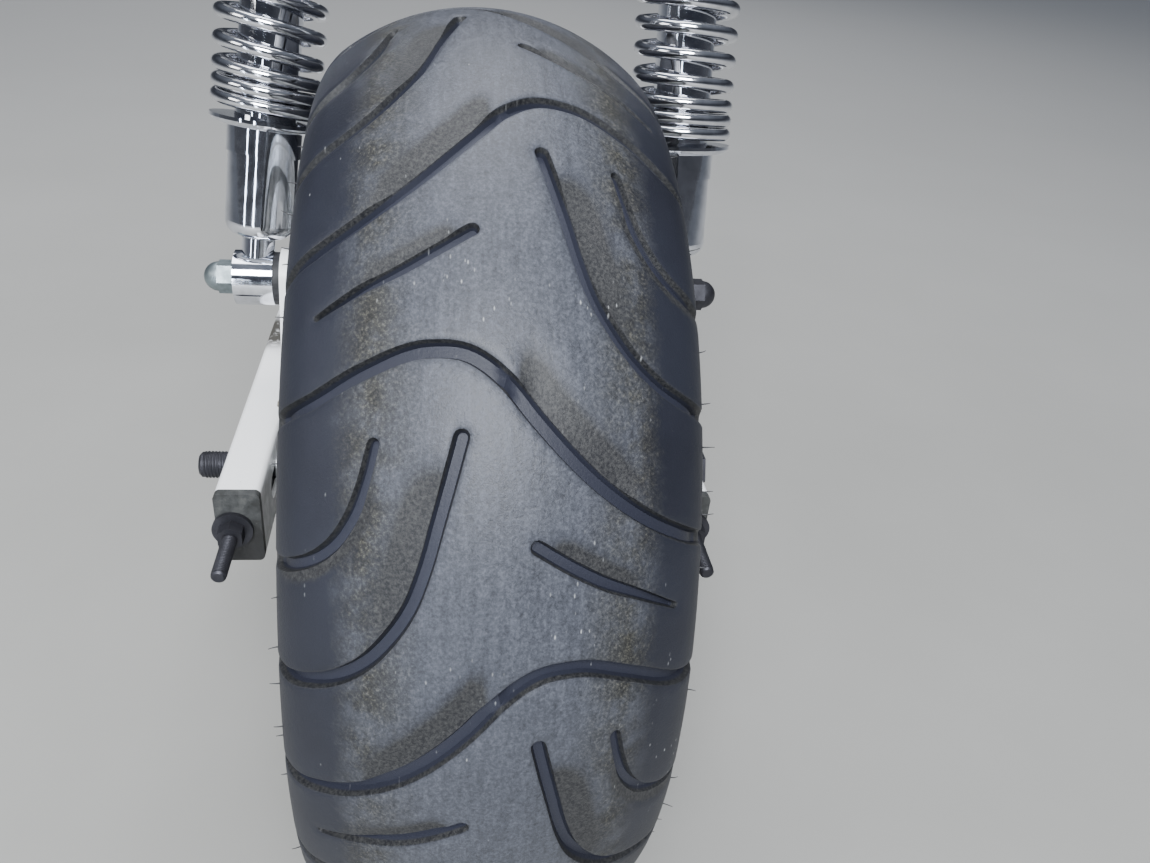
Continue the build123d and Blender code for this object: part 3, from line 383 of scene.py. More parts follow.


# White paint, its stains, painted shade and welds, and the worn plates

WASHED_WHITE = ((0.24, (0.55, 0.53, 0.49)), (0.36, (0.93, 0.935, 0.94)))
PAINT_DOTS = (0.42, 0.40, 0.36)
# colour of the painted shade on the arms, also used for the stain ahead of the brackets
SHADE_AND_STAIN_COLOUR = (0.075, 0.070, 0.060)
SHADE_PATCH_AHEAD = 0.027  # middle of the dark patch, a stain and painted shade of the shock, ahead of the bracket
SHADE_PATCH_INSET = 0.003  # and in from the arm's outer face
SHADE_PATCH_REACH = (0.013, 0.024)  # fully dark, and faded out
INNER_SHADE_DEPTH = (0.0002, 0.0018)  # behind the arm's inner face: shaded, and clear again
INNER_SHADE_FROM = (0.078, 0.082)  # from the middle plane: tubes clear, arms shaded
INNER_SHADE_HEIGHT = (0.0130, 0.0176)  # where the painted shade begins to fade, and is gone
WELD_COLOURS = ((0.36, (0.10, 0.085, 0.065)), (0.5, (0.34, 0.31, 0.25)), (0.62, (0.80, 0.80, 0.78)))
WELD_FLECKS = (0.16, 0.14, 0.11)
RUBBED_PLATE = ((0.36, (0.020, 0.021, 0.020)), (0.52, (0.042, 0.044, 0.044)), (0.68, (0.080, 0.082, 0.078)))
PLATE_LOW_COLOUR = (0.012, 0.012, 0.012)
PLATE_DUST = (0.16, 0.157, 0.14)


def stain_and_painted_shade_patch(paint, dark_patch_noise):
    """A brownish stain and painted shade of the shock on the arms' top faces, ahead of the brackets."""
    _, arm_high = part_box("arm_left")
    _, bracket_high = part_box("shock_bracket_left")
    middle = Vector((bracket_high.x + SHADE_PATCH_AHEAD, arm_high.y - SHADE_PATCH_INSET, arm_high.z))
    spots = paint.grey(dark_patch_noise, (0.54, 1.0), (0.66, 0.25))
    return paint.times(paint.near(middle, *SHADE_PATCH_REACH), spots)


def inner_face_painted_shade(paint, dark_patch_noise):
    """Painted shade on the faces of the arms that look at the wheel, below their top edges, in the dark gap
    by the tyre.
    """
    arm_low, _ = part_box("arm_left")
    _, y, z = paint.axes()
    side = paint.maths("ABSOLUTE", y)
    face = paint.fall(side, *(arm_low.y + depth for depth in INNER_SHADE_DEPTH))
    beside = paint.rise(side, *INNER_SHADE_FROM)
    low = paint.fall(z, *INNER_SHADE_HEIGHT)
    spots = paint.grey(dark_patch_noise, (0.30, 1.0), (0.80, 0.5))
    inner_shade = paint.times(paint.times(face, beside), spots)
    return paint.times(inner_shade, low)


def white_gloss():
    """Clean white gloss, with a stain and painted shade ahead of the shock brackets and painted shade beside
    the wheel.
    """
    paint = Paint("white_gloss_paint")
    grime = paint.noise(38.0, detail=7.0, rough=0.65)
    dots = paint.noise(420.0, detail=3.0, rough=0.6)
    dark_patch_noise = paint.noise(170.0, detail=6.0, rough=0.7)
    # painted shade beside the wheel and under the shocks, with a stain ahead of the brackets
    painted_shade_and_stain = paint.maths("MAXIMUM", stain_and_painted_shade_patch(paint, dark_patch_noise), inner_face_painted_shade(paint, dark_patch_noise))
    washed = paint.ramp(grime, *WASHED_WHITE)
    dotted = paint.mix(paint.grey(dots, (0.70, 0.0), (0.78, 0.55)), washed, PAINT_DOTS)
    paint.colour(paint.mix(painted_shade_and_stain, dotted, SHADE_AND_STAIN_COLOUR))
    paint.rough(paint.mix(painted_shade_and_stain, paint.grey(grime, (0.3, 0.45), (0.6, 0.30)), (0.7, 0.7, 0.7)))
    paint.set(Coat_Weight=0.15, Coat_Roughness=0.12)
    paint.bump(paint.noise(300.0, detail=2.0), strength=0.08, distance=0.0003)
    return paint.material


def stained_weld():
    paint = Paint("stained_weld")
    grime = paint.noise(95.0, detail=7.0, rough=0.7)
    flecks = paint.noise(380.0, detail=4.0, rough=0.6)
    base = paint.ramp(grime, *WELD_COLOURS)
    paint.colour(paint.mix(paint.grey(flecks, (0.62, 0.0), (0.72, 0.7)), base, WELD_FLECKS))
    paint.rough(paint.grey(grime, (0.35, 0.75), (0.62, 0.32)))
    paint.bump(flecks, strength=0.4, distance=0.0005)
    return paint.material


def worn_dark_paint():
    """Dark plate, rubbed pale and dusty above, darker towards the bottom."""
    paint = Paint("worn_dark_paint")
    blotch = paint.noise(150.0, detail=6.0, rough=0.7)
    dust = paint.noise(420.0, detail=4.0, rough=0.6)
    _, _, z = paint.axes()
    level = paint.maths("ADD", z, paint.grey(blotch, (0.3, -0.006), (0.7, 0.006)))
    # darker towards the bottom: below a given height the plate takes the low colour
    upper_share = paint.rise(level, -0.004, 0.006)
    base = paint.mix(upper_share, PLATE_LOW_COLOUR, paint.ramp(blotch, *RUBBED_PLATE))
    paint.colour(paint.mix(paint.grey(dust, (0.64, 0.0), (0.8, 0.4)), base, PLATE_DUST))
    paint.rough(paint.grey(blotch, (0.3, 0.45), (0.7, 0.75)))
    paint.bump(blotch, strength=0.5, distance=0.0004)
    return paint.material


# Rubber of the tyre. Its mesh carries how far across and how deep in the tread each point is, from 0 to 1.

SCUFFED = ((0.38, (0.031, 0.033, 0.040)), (0.50, (0.054, 0.058, 0.071)), (0.62, (0.090, 0.096, 0.116)))
DUST = ((0.38, (0.010, 0.010, 0.010)), (0.54, (0.034, 0.033, 0.028)), (0.68, (0.105, 0.101, 0.082)))
FRESH_RUBBER = ((0.3, (0.010, 0.011, 0.017)), (0.7, (0.017, 0.019, 0.028)))
SOOTY_SLOPE = ((0.40, (0.012, 0.0125, 0.015)), (0.66, (0.046, 0.046, 0.046)))
GROOVE_FLOOR = (0.020, 0.022, 0.034)
FLECK = (0.42, 0.43, 0.43)
STREAK_SHARE = 0.20  # parts of the grain
MOTTLE_SHARE = 0.25
GRIT_SHARE = 0.55


def worn_share(paint, across, deep, patches, mottle):
    """One on the worn middle band, nothing on the shoulders and in the grooves, with a ragged edge."""
    ragged = paint.maths("ADD", across, paint.grey(mottle, (0.25, -0.05), (0.75, 0.05)))
    uneven = paint.maths("ADD", ragged, paint.grey(patches, (0.3, -0.06), (0.7, 0.06)))
    shallow = paint.maths("ADD", deep, paint.grey(mottle, (0.3, -0.06), (0.7, 0.06)))
    band = paint.fall(uneven, 0.52, 0.66)
    return paint.times(band, paint.fall(shallow, 0.04, 0.22))


def rubber_grain(paint, mottle, grit):
    streaks = paint.noise(1.0, detail=3.0, rough=0.6, vector=paint.unrolled(45.0, 420.0))
    coarse = paint.maths("ADD", paint.times(streaks, STREAK_SHARE), paint.times(mottle, MOTTLE_SHARE))
    return paint.maths("ADD", coarse, paint.times(grit, GRIT_SHARE))


def unworn_colour(paint, deep, grit):
    """Blue-black rubber, sooty on the slopes beside the grooves and plain on their floors."""
    cloud = paint.noise(16.0, detail=5.0, rough=0.6)
    fresh = paint.ramp(cloud, *FRESH_RUBBER)
    beside = paint.mix(paint.rise(deep, 0.03, 0.14), fresh, paint.ramp(grit, *SOOTY_SLOPE))
    return paint.mix(paint.rise(deep, 0.50, 0.66), beside, GROOVE_FLOOR)


def fleck_share(paint):
    cells = paint.cells(paint.unrolled(170.0, 470.0))
    places = paint.noise(26.0, detail=5.0, rough=0.8)
    return paint.times(paint.fall(cells, 0.05, 0.15), paint.grey(places, (0.53, 0.0), (0.64, 0.7)))


def tyre_rubber():
    """Scuffed tread: a pale middle band, dusty at its edges, and blue-black shoulders and grooves."""
    paint = Paint("tyre_rubber")
    across = paint.attribute("across")
    deep = paint.attribute("deep")
    patches = paint.noise(55.0, detail=6.0, rough=0.7)
    mottle = paint.noise(300.0, detail=5.0, rough=0.7)
    grit = paint.noise(950.0, detail=4.0, rough=0.75)
    worn = worn_share(paint, across, deep, patches, mottle)
    grain = rubber_grain(paint, mottle, grit)
    edge = paint.rise(across, 0.26, 0.46)
    dusty = paint.times(edge, paint.grey(patches, (0.38, 0.2), (0.58, 1.0)))
    tread = paint.mix(dusty, paint.ramp(grain, *SCUFFED), paint.ramp(grit, *DUST))
    base = paint.mix(worn, unworn_colour(paint, deep, grit), tread)
    paint.colour(paint.mix(fleck_share(paint), base, FLECK))
    sheen = paint.mix(dusty, paint.grey(grain, (0.40, 0.36), (0.62, 0.50)), (0.64, 0.64, 0.64))
    paint.rough(paint.mix(worn, (0.50, 0.50, 0.50), sheen))
    paint.set(Specular_IOR_Level=0.30)
    paint.bump(grain, strength=0.6, distance=0.0004)
    return paint.material


PAINTS = {
    "tyre": tyre_rubber(),
    "white_paint": white_gloss(),
    "stained_weld": stained_weld(),
    "dark_worn_paint": worn_dark_paint(),
    "black_rubber": plain_rubber(),
}
for slot, *look in METALS:
    PAINTS[slot] = metal_paint(*look)
for slot, *look in CHROMES:
    PAINTS[slot] = chrome_paint(*look)


def dress_nodes():
    for part in frame["record"]["subparts"]:
        for material_slot in frame["nodes"][part["node"]].material_slots:
            material_slot.material = PAINTS[part["material_slot"]]


# Tread pattern on the unrolled tyre, in mm. Half a pattern, a cell, repeats with its sides swapped.

HALF_REPEATS = 14
FIRST_SWEEP = radians(23.9)  # from the top of the tyre towards the rear
TREAD_EDGE = 84.0  # along the section, from the middle line
CELL_LENGTH = 2 * pi * TYRE_RADIUS * MM / HALF_REPEATS

# Sweeping groove that borders a cell
SWEEP_POINTS = (
    # across, along
    (-84, 9.0), (-60, 4.6), (-42, -3.4), (-22, -9.3), (-9, -7.2), (0, -0.4),
    (9, 10.2), (24, 25.2), (42, 37.6), (60, 45.4), (84, 51.0),
)
SWEEP_HALF_WIDTH = 2.8
SWEEP_DEPTH = 3.8
SWEEP_OVERRUN = 4  # past the tread's edges
SWEEP_LINE_POINTS = 120
TIE_LENGTH = 1.9  # raised bar across the groove at the middle line
TIE_SHARE = 0.35
TIE_FADE = 0.8

# Short grooves inside a cell
GROOVES = {
    # points of the middle line (along, across), half widths at start, middle and end, depth, open end
    "slash": (((46, 9.5), (52, 19.5), (57.7, 30.5), (62.3, 42), (69.0, 57)), (2.3, 2.2, 1.1), 3.3, False),
    "hook": (
        ((15.5, -12), (27, -15), (40, -18.5), (53, -22), (65, -26.5), (74.5, -32.5),
         (83, -40), (90, -50), (95, -64), (97, -88)),
        (2.4, 2.5, 3.0), 3.7, True,
    ),
    "barb": (
        ((17.5, -37), (29, -40), (40, -44.5), (48, -50.5), (53, -57.5), (56, -66), (57.5, -88)),
        (2.0, 2.3, 2.7), 3.0, True,
    ),
}
FLOOR_SHARE = 0.60  # flat floor, as a share of a groove's width
LIP_SHARE = 0.09  # rounded lip, as a share of a groove's depth
EDGE_ROUND = 0.9  # width of that lip
CAP_TURNS = np.radians((-60, -30, 0, 30, 60))

# Broad soft slopes beside the grooves
SLOPES = (
    # groove, side (+1 towards the outer edge), first and last share of its length, width, depth
    ("hook", 1, 0.02, 0.60, 14.0, 1.9),
    ("slash", -1, 0.0, 0.8, 7.0, 1.3),
    ("barb", -1, 0.1, 0.9, 5.0, 1.2),
)
SLOPE_GROWS = 0.18  # shares of the groove's length
SLOPE_FADES = 0.3
SLOPE_INSET = 0.9  # share of the half width where a slope begins
SWEEP_SLOPE = (1.0, 44.0, 13.0, 1.9)  # across from, across to, width, depth, on the forward side
SWEEP_SLOPE_GROWS = 8
SWEEP_SLOPE_FADES = 12
EDGE_FADE = 7.0  # all relief runs out towards the tread's edge

# Triangles
GRID_STEP = 3.2
LINE_STEP = 1.6
BORDER_STEP = 3.8
ROW_SHARE = 0.866  # between rows, as a share of the step in a row
LINE_CLEARANCE = 1.5  # free points from the lines
END_CLEARANCE = 1.0
INSIDE_LINES = 1  # kind of triangulation
MERGE_DISTANCE = 1e-4
FINE_POINTS = 400


def hermite(x, xs, ys):
    """Smooth curve through points that are listed with rising x."""
    xs = np.asarray(xs, float)
    ys = np.asarray(ys, float)
    slopes = np.gradient(ys, xs)
    index = np.clip(np.searchsorted(xs, x) - 1, 0, len(xs) - 2)
    width = xs[index + 1] - xs[index]
    t = (x - xs[index]) / width
    first = (1 + 2 * t) * (1 - t) ** 2 * ys[index] + t * (1 - t) ** 2 * width * slopes[index]
    second = t * t * (3 - 2 * t) * ys[index + 1] + t * t * (t - 1) * width * slopes[index + 1]
    return first + second


def sweep_at(across):
    return hermite(across, *zip(*SWEEP_POINTS))


def travelled(line):
    """Distance along a line up to each of its points."""
    return np.concatenate([[0], np.cumsum(np.linalg.norm(np.diff(line, axis=0), axis=1))])


def resampled(points, step):
    """Even points on the smooth curve through given points."""
    points = np.asarray(points, float)
    chord = travelled(points)
    fine = np.linspace(0, chord[-1], FINE_POINTS)
    dense = np.column_stack([hermite(fine, chord, column) for column in points.T])
    length = travelled(dense)
    count = max(2, int(round(length[-1] / step)))
    even = np.linspace(0, length[-1], count + 1)
    return np.column_stack([np.interp(even, length, column) for column in dense.T])


def normals_of(line):
    """Unit normals on the left of each point of a line."""
    run = np.gradient(line, axis=0)
    run /= np.linalg.norm(run, axis=1)[:, None]
    return np.column_stack([-run[:, 1], run[:, 0]])


def smooth_step(value):
    value = np.clip(value, 0.0, 1.0)
    return value * value * (3 - 2 * value)


class Groove:
    """A groove's middle line with its widths, its depth and the outline lines of its section."""

    def __init__(self, line, widths, depth, open_end):
        self.line = line
        share = np.linspace(0, 1, len(line))
        self.half = hermite(share, (0, 0.5, 1), widths)
        self.depth = depth
        self.open_end = open_end

    def outline(self, extra, share):
        """Line round the groove at a share of its half width plus a distance, not across an open end."""
        width = self.half * share + extra
        sideways = normals_of(self.line) * width[:, None]
        left = self.line + sideways
        right = self.line - sideways
        start = self.cap(0, width[0])
        end = [] if self.open_end else self.cap(-1, width[-1])
        return np.array([*left, *end, *right[::-1], *start])

    def cap(self, index, radius):
        """Points round the first (0) or last (-1) end of the groove."""
        run = self.line[0] - self.line[1] if index == 0 else self.line[-1] - self.line[-2]
        out = run / np.linalg.norm(run)
        side = np.array((-out[1], out[0]))
        centre = self.line[index]
        return [centre + out * radius * cos(a) - side * radius * sin(a) for a in CAP_TURNS]

    def measure(self, points):
        """Distance from the middle line, side, half width there and share of the length."""
        start = self.line[:-1]
        run = np.diff(self.line, axis=0)
        square = (run ** 2).sum(axis=1)
        offset = points[:, None, :] - start[None]
        t = np.clip((offset * run).sum(axis=2) / square, 0, 1)
        gap = offset - t[..., None] * run
        distance = np.linalg.norm(gap, axis=2)
        best = distance.argmin(axis=1)
        rows = np.arange(len(points))
        share = (best + t[rows, best]) / len(run)
        half = np.interp(share, np.linspace(0, 1, len(self.half)), self.half)
        cross = run[best, 0] * gap[rows, best, 1] - run[best, 1] * gap[rows, best, 0]
        return distance[rows, best], np.sign(cross), half, share

    def cut(self, points):
        """How deep the groove lies below the tread at each point, from 0 to its depth."""
        distance, _, half, _ = self.measure(points)
        wall = 1 - smooth_step((distance / half - FLOOR_SHARE) / (1 - FLOOR_SHARE)) * (1 - LIP_SHARE)
        lip = LIP_SHARE * (1 - np.clip((distance - half) / EDGE_ROUND, 0, 1)) ** 2
        return self.depth * np.where(distance < half, wall, lip)


def sweep_grooves():
    """The two sweeping grooves that border a cell, run on past the tread's edges."""
    reach = np.linspace(-TREAD_EDGE - SWEEP_OVERRUN, TREAD_EDGE + SWEEP_OVERRUN, SWEEP_LINE_POINTS)
    held = np.clip(reach, -TREAD_EDGE, TREAD_EDGE)
    widths = (SWEEP_HALF_WIDTH,) * 3
    first = Groove(np.column_stack([sweep_at(held), reach]), widths, SWEEP_DEPTH, True)
    last = Groove(np.column_stack([CELL_LENGTH + sweep_at(-held), reach]), widths, SWEEP_DEPTH, True)
    return first, last


def cell_grooves():
    grooves = {}
    for name, (points, widths, depth, open_end) in GROOVES.items():
        grooves[name] = Groove(resampled(points, LINE_STEP), widths, depth, open_end)
    return grooves


def groove_along(groove, across):
    return np.interp(across, groove.line[:, 1], groove.line[:, 0])


def slope_cut(distance, half, on_side, along, width, depth):
    """A soft slope that falls towards a groove on one side of it."""
    fall = (1 - smooth_step((distance - half) / width)) * along * depth
    return np.where(on_side, fall, 0) * (distance >= half * SLOPE_INSET)


def tread_height(points, grooves, first, last):
    """Height of the tread surface, negative in grooves and slopes, in mm."""
    tie = 1 - TIE_SHARE * smooth_step((TIE_LENGTH - np.abs(points[:, 1])) / TIE_FADE)
    cut = np.maximum(first.cut(points), last.cut(points)) * tie
    for groove in grooves.values():
        cut = np.maximum(cut, groove.cut(points))
    for name, side, begin, finish, width, depth in SLOPES:
        distance, where, half, share = grooves[name].measure(points)
        along = smooth_step((share - begin) / SLOPE_GROWS) * smooth_step((finish - share) / SLOPE_FADES)
        cut = np.maximum(cut, slope_cut(distance, half, where == -side, along, width, depth))
    low, high, width, depth = SWEEP_SLOPE
    for groove, turn in ((first, 1), (last, -1)):
        distance, _, half, _ = groove.measure(points)
        place = points[:, 1] * turn
        grows = smooth_step((place - low) / SWEEP_SLOPE_GROWS)
        along = grows * smooth_step((high - place) / SWEEP_SLOPE_FADES)
        forward = points[:, 0] < groove_along(groove, points[:, 1])
        cut = np.maximum(cut, slope_cut(distance, half, forward, along, width, depth))
    fade = smooth_step((TREAD_EDGE - np.abs(points[:, 1])) / EDGE_FADE)
    return -cut * fade


def add_line(points, edges, line, closed):
    first = len(points)
    points.extend(map(tuple, line))
    last = len(points) - 1
    edges.extend((i, i + 1) for i in range(first, last))
    if closed:
        edges.append((last, first))


def edge_line(begin, finish, across):
    """Points along one edge of the tread."""
    count = int(round(abs(finish - begin) / BORDER_STEP))
    return np.column_stack([np.linspace(begin, finish, count + 1), np.full(count + 1, across)])


def cell_border():
    """Closed line round a cell: the middles of both sweeping grooves and the tread's two edges."""
    across = np.linspace(-TREAD_EDGE, TREAD_EDGE, 2 * int(TREAD_EDGE / LINE_STEP) + 1)
    start = np.column_stack([sweep_at(across), across])
    end = np.column_stack([CELL_LENGTH + sweep_at(-across), across])
    top = edge_line(start[-1][0], end[-1][0], TREAD_EDGE)
    low = edge_line(end[0][0], start[0][0], -TREAD_EDGE)
    return np.vstack([start[:-1], top[:-1], end[::-1][:-1], low[:-1]])


def cell_lines(first, last, grooves):
    """Points and edges that the tread's triangles keep to."""
    points = []
    edges = []
    add_line(points, edges, cell_border(), closed=True)
    for groove, side in ((first, -1), (last, 1)):
        sideways = normals_of(groove.line) * side
        for distance in (groove.half * FLOOR_SHARE, groove.half, groove.half + EDGE_ROUND):
            add_line(points, edges, groove.line + sideways * distance[:, None], closed=False)
    for groove in grooves.values():
        for extra, share in ((0.0, FLOOR_SHARE), (0.0, 1.0), (EDGE_ROUND, 1.0)):
            add_line(points, edges, groove.outline(extra, share), closed=not groove.open_end)
    return points, edges


def filling_points(first, last, fixed):
    """Free points in rows across the tread, clear of the lines."""
    filling = []
    rows = int(2 * TREAD_EDGE / (GRID_STEP * ROW_SHARE))
    for row in range(1, rows):
        across = -TREAD_EDGE + row * 2 * TREAD_EDGE / rows
        low_end = groove_along(first, across)
        high_end = groove_along(last, across)
        count = int((high_end - low_end) / GRID_STEP)
        for column in range(1, count):
            along = low_end + (column + 0.5 * (row % 2)) * (high_end - low_end) / count
            clearance = np.min(np.abs(fixed - (along, across)).sum(axis=1))
            if clearance > LINE_CLEARANCE and along < high_end - END_CLEARANCE:
                filling.append((along, across))
    return filling


def inside_cell(flat, faces):
    along, across = np.array([flat[list(face)].mean(axis=0) for face in faces]).T
    after_start = along > sweep_at(across)
    before_end = along < CELL_LENGTH + sweep_at(-across)
    return after_start & before_end & (np.abs(across) < TREAD_EDGE)


def tread_cell():
    """Triangles of half a pattern, as points (along, across, height) and faces."""
    first, last = sweep_grooves()
    grooves = cell_grooves()
    points, edges = cell_lines(first, last, grooves)
    points += filling_points(first, last, np.array(points))
    vectors = [Vector(point) for point in points]
    result = delaunay_2d_cdt(vectors, edges, [], INSIDE_LINES, MERGE_DISTANCE)
    flat = np.array([tuple(point) for point in result[0]])
    faces = [tuple(face) for face in result[2]]
    inside = inside_cell(flat, faces)
    height = tread_height(flat, grooves, first, last)
    return np.column_stack([flat, height]), [faces[i] for i in np.nonzero(inside)[0]]


# Tyre surface

SHARP_ANGLE = 40.0  # degrees
TYRE_WELD = 2e-5  # joins the points of neighbouring cells
SHOULDER_ROWS = 8
WALL_STEPS = (
    # down from the shoulder's end, out from the wall for the moulded ring
    (0.0012, 0.0), (0.0020, 0.0007), (0.0030, 0.0007), (0.0038, 0.0), (0.0065, 0.0), (0.0092, 0.0),
)
BEAD_STEPS = (
    # radius that the step is measured from, above it, outside the flange's inner face
    (FLANGE_RADIUS, 0.0016, 0.0072),
    (FLANGE_RADIUS, 0.0004, 0.0062),
    (FLANGE_RADIUS, -0.0040, -0.0002),
    (SEAT_RADIUS, 0.0002, -0.0002),
    (SEAT_RADIUS, 0.0002, -0.0140),
    (SEAT_RADIUS, 0.0070, -0.0130),
)


def section_place(across):
    """Radius, side and normal of the tyre's section at a distance along it in metres."""
    reach = np.abs(across)
    crown_reach = CROWN_RADIUS * SHOULDER_TILT
    on_crown = reach <= crown_reach
    angle = np.where(on_crown, reach / CROWN_RADIUS, SHOULDER_TILT + (reach - crown_reach) / SHOULDER_RADIUS)
    return section_at_angle(angle, on_crown, np.sign(across))


def section_at_angle(angle, on_crown, sign):
    crown_x = TYRE_RADIUS - CROWN_RADIUS
    shoulder_x = crown_x + (CROWN_RADIUS - SHOULDER_RADIUS) * cos(SHOULDER_TILT)
    shoulder_y = TYRE_WIDTH / 2 - SHOULDER_RADIUS
    out = np.cos(angle)
    sideways = np.sin(angle)
    radius = np.where(on_crown, crown_x + CROWN_RADIUS * out, shoulder_x + SHOULDER_RADIUS * out)
    side = np.where(on_crown, CROWN_RADIUS * sideways, shoulder_y + SHOULDER_RADIUS * sideways)
    return radius, side * sign, out, sideways * sign


def wheel_points(turn, radius, side):
    """World points from a turn (from the top towards the rear), a radius and a side."""
    x = WHEEL.x - radius * np.sin(turn)
    y = WHEEL.y + side
    z = WHEEL.z + radius * np.cos(turn)
    return np.column_stack([x, y, z])


def sidewall_rows():
    """Rows (radius, side) from the tread's edge down to the bead, for the left side."""
    crown_reach = CROWN_RADIUS * SHOULDER_TILT
    edge_angle = SHOULDER_TILT + (TREAD_EDGE / MM - crown_reach) / SHOULDER_RADIUS
    rows = []
    for angle in np.linspace(edge_angle, pi / 2 + SHOULDER_WRAP, SHOULDER_ROWS)[1:]:
        radius, side, _, _ = section_at_angle(angle, False, 1.0)
        rows.append((float(radius), float(side)))
    radius, side = rows[-1]
    slope = tan(SHOULDER_WRAP)
    for drop, raised in WALL_STEPS:
        rows.append((radius - drop, side - drop * slope + raised))
    for base, rise, out in BEAD_STEPS:
        rows.append((base + rise, RIM_HALF + out))
    return rows


def make_tyre():
    cell, cell_faces = tread_cell()
    along, across, rise = cell.T
    points = []
    faces = []
    for number in range(HALF_REPEATS):
        sign = 1 if number % 2 == 0 else -1
        turn = FIRST_SWEEP + (along + number * CELL_LENGTH) / (TYRE_RADIUS * MM)
        radius, side, out, sideways = section_place(across * sign / MM)
        height = rise / MM
        base = number * len(cell)
        points.append(wheel_points(turn, radius + out * height, side + sideways * height))
        faces += [tuple(base + i for i in (face[::-1] if sign > 0 else face)) for face in cell_faces]
    values = {
        "across": np.tile(np.abs(across) / TREAD_EDGE, HALF_REPEATS),
        "deep": np.tile(-rise / SWEEP_DEPTH, HALF_REPEATS),
    }
    tyre = mesh_piece(
        "tyre_tread", np.vstack(points), faces, "wheel", PAINTS["tyre"], weld=TYRE_WELD, values=values)
    add_sidewalls(tyre)
    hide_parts("tyre")


def write_back(shape, mesh, sharp):
    """Puts an edited shape into its mesh, smooth except at edges from an angle in degrees."""
    bmesh.ops.recalc_face_normals(shape, faces=shape.faces)
    shape.to_mesh(mesh)
    shape.free()
    mesh.shade_smooth()
    mesh.set_sharp_from_angle(angle=radians(sharp))


def mesh_piece(name, points, faces, body, paint, weld=0.0, values=None, sharp=SHARP_ANGLE):
    mesh = bpy.data.meshes.new(name)
    mesh.from_pydata([tuple(p) for p in points], [], faces)
    for layer_name, numbers in (values or {}).items():
        layer = mesh.attributes.new(layer_name, "FLOAT", "POINT")
        layer.data.foreach_set("value", np.asarray(numbers, dtype=np.float32))
    shape = bmesh.new()
    shape.from_mesh(mesh)
    if weld:
        bmesh.ops.remove_doubles(shape, verts=shape.verts, dist=weld)
    write_back(shape, mesh, sharp)
    mesh.materials.append(paint)
    piece = add_object(name, mesh)
    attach(piece, body)
    return piece


def turn_of(vertex):
    return atan2(-(vertex.co.x - WHEEL.x), vertex.co.z - WHEEL.z)


def add_sidewalls(tyre):
    """Grows both sidewalls from the tread's open edges down to the beads."""
    shape = bmesh.new()
    shape.from_mesh(tyre.data)
    across = shape.verts.layers.float["across"]
    for sign in (1, -1):
        last = [v for v in shape.verts if v.is_boundary and (v.co.y - WHEEL.y) * sign > 0]
        last.sort(key=turn_of)
        turns = [turn_of(v) for v in last]
        for radius, side in sidewall_rows():
            row = []
            for turn in turns:
                x = WHEEL.x - radius * sin(turn)
                z = WHEEL.z + radius * cos(turn)
                vertex = shape.verts.new((x, WHEEL.y + side * sign, z))
                vertex[across] = 1.0
                row.append(vertex)
            count = len(row)
            for i in range(count):
                j = (i + 1) % count
                shape.faces.new((last[i], last[j], row[j], row[i]))
            last = row
    write_back(shape, tyre.data, SHARP_ANGLE)


# Threads

THREADS = {
    # radius of the core, radius of the crests, pitch, bare end
    "adjuster": (0.0029, 0.0032, 0.0010, 0.0009),
    "axle": (0.0059, 0.0064, 0.0015, 0.0013),
}
THREAD_SIDES = 32
THREAD_ROWS = 7  # rows of points in one turn
THREAD_PEAK = 1.35  # of the flanks before they are cut off at the crest
THREAD_FLANK = 3.4
THREAD_SHARP = 60.0


def axes_along(direction):
    """Two unit vectors square to a direction."""
    direction = Vector(direction).normalized()
    helper = Vector((0, 0, 1)) if abs(direction.z) < 0.9 else Vector((1, 0, 0))
    side = direction.cross(helper).normalized()
    return side, direction.cross(side).normalized()


def tube_faces(rows, count):
    faces = []
    for low in range(0, (rows - 1) * count, count):
        high = low + count
        for i in range(count):
            j = (i + 1) % count
            faces.append((low + i, low + j, high + j, high + i))
    return faces


def make_thread(name, kind, start, direction, reach, paint_slot):
    """Rolled thread on a rod: a screw surface that runs out at both ends."""
    core, crest, pitch, bare_end = THREADS[kind]
    length = reach - bare_end
    rows = int(length / pitch * THREAD_ROWS) + 1
    direction = Vector(direction).normalized()
    side, up = axes_along(direction)
    points = []
    for row in range(rows):
        travel = length * row / (rows - 1)
        runout = min(1.0, travel / pitch, (length - travel) / pitch)
        for i in range(THREAD_SIDES):
            turn = 2 * pi * i / THREAD_SIDES
            phase = (travel / pitch - i / THREAD_SIDES) % 1.0
            rise = max(0.0, min(1.0, THREAD_PEAK - abs(phase - 0.5) * THREAD_FLANK))
            radius = core + (crest - core) * rise * runout
            spoke = cos(turn) * side + sin(turn) * up
            points.append(start + direction * travel + radius * spoke)
    faces = tube_faces(rows, THREAD_SIDES)
    piece = mesh_piece(name, points, faces, "swingarm", PAINTS[paint_slot], sharp=THREAD_SHARP)


def box_middle(node):
    low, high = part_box(node)
    return (low + high) / 2


def make_threads():
    for name, _ in SIDES:
        nut_low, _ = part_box(f"adjuster_nut_{name}")
        rod_low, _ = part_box(f"chain_adjuster_{name}")
        start = box_middle(f"adjuster_nut_{name}")
        start.x = nut_low.x
        reach = nut_low.x - rod_low.x
        make_thread(f"adjuster_thread_{name}", "adjuster", start, (-1, 0, 0), reach, "dark_steel")
    _, arm_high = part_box("arm_left")
    _, axle_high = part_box("axle")
    start = box_middle("axle_collar_left")
    start.y = arm_high.y
    make_thread("axle_thread", "axle", start, (0, 1, 0), axle_high.y - arm_high.y, "dark_steel")


# Weld beads

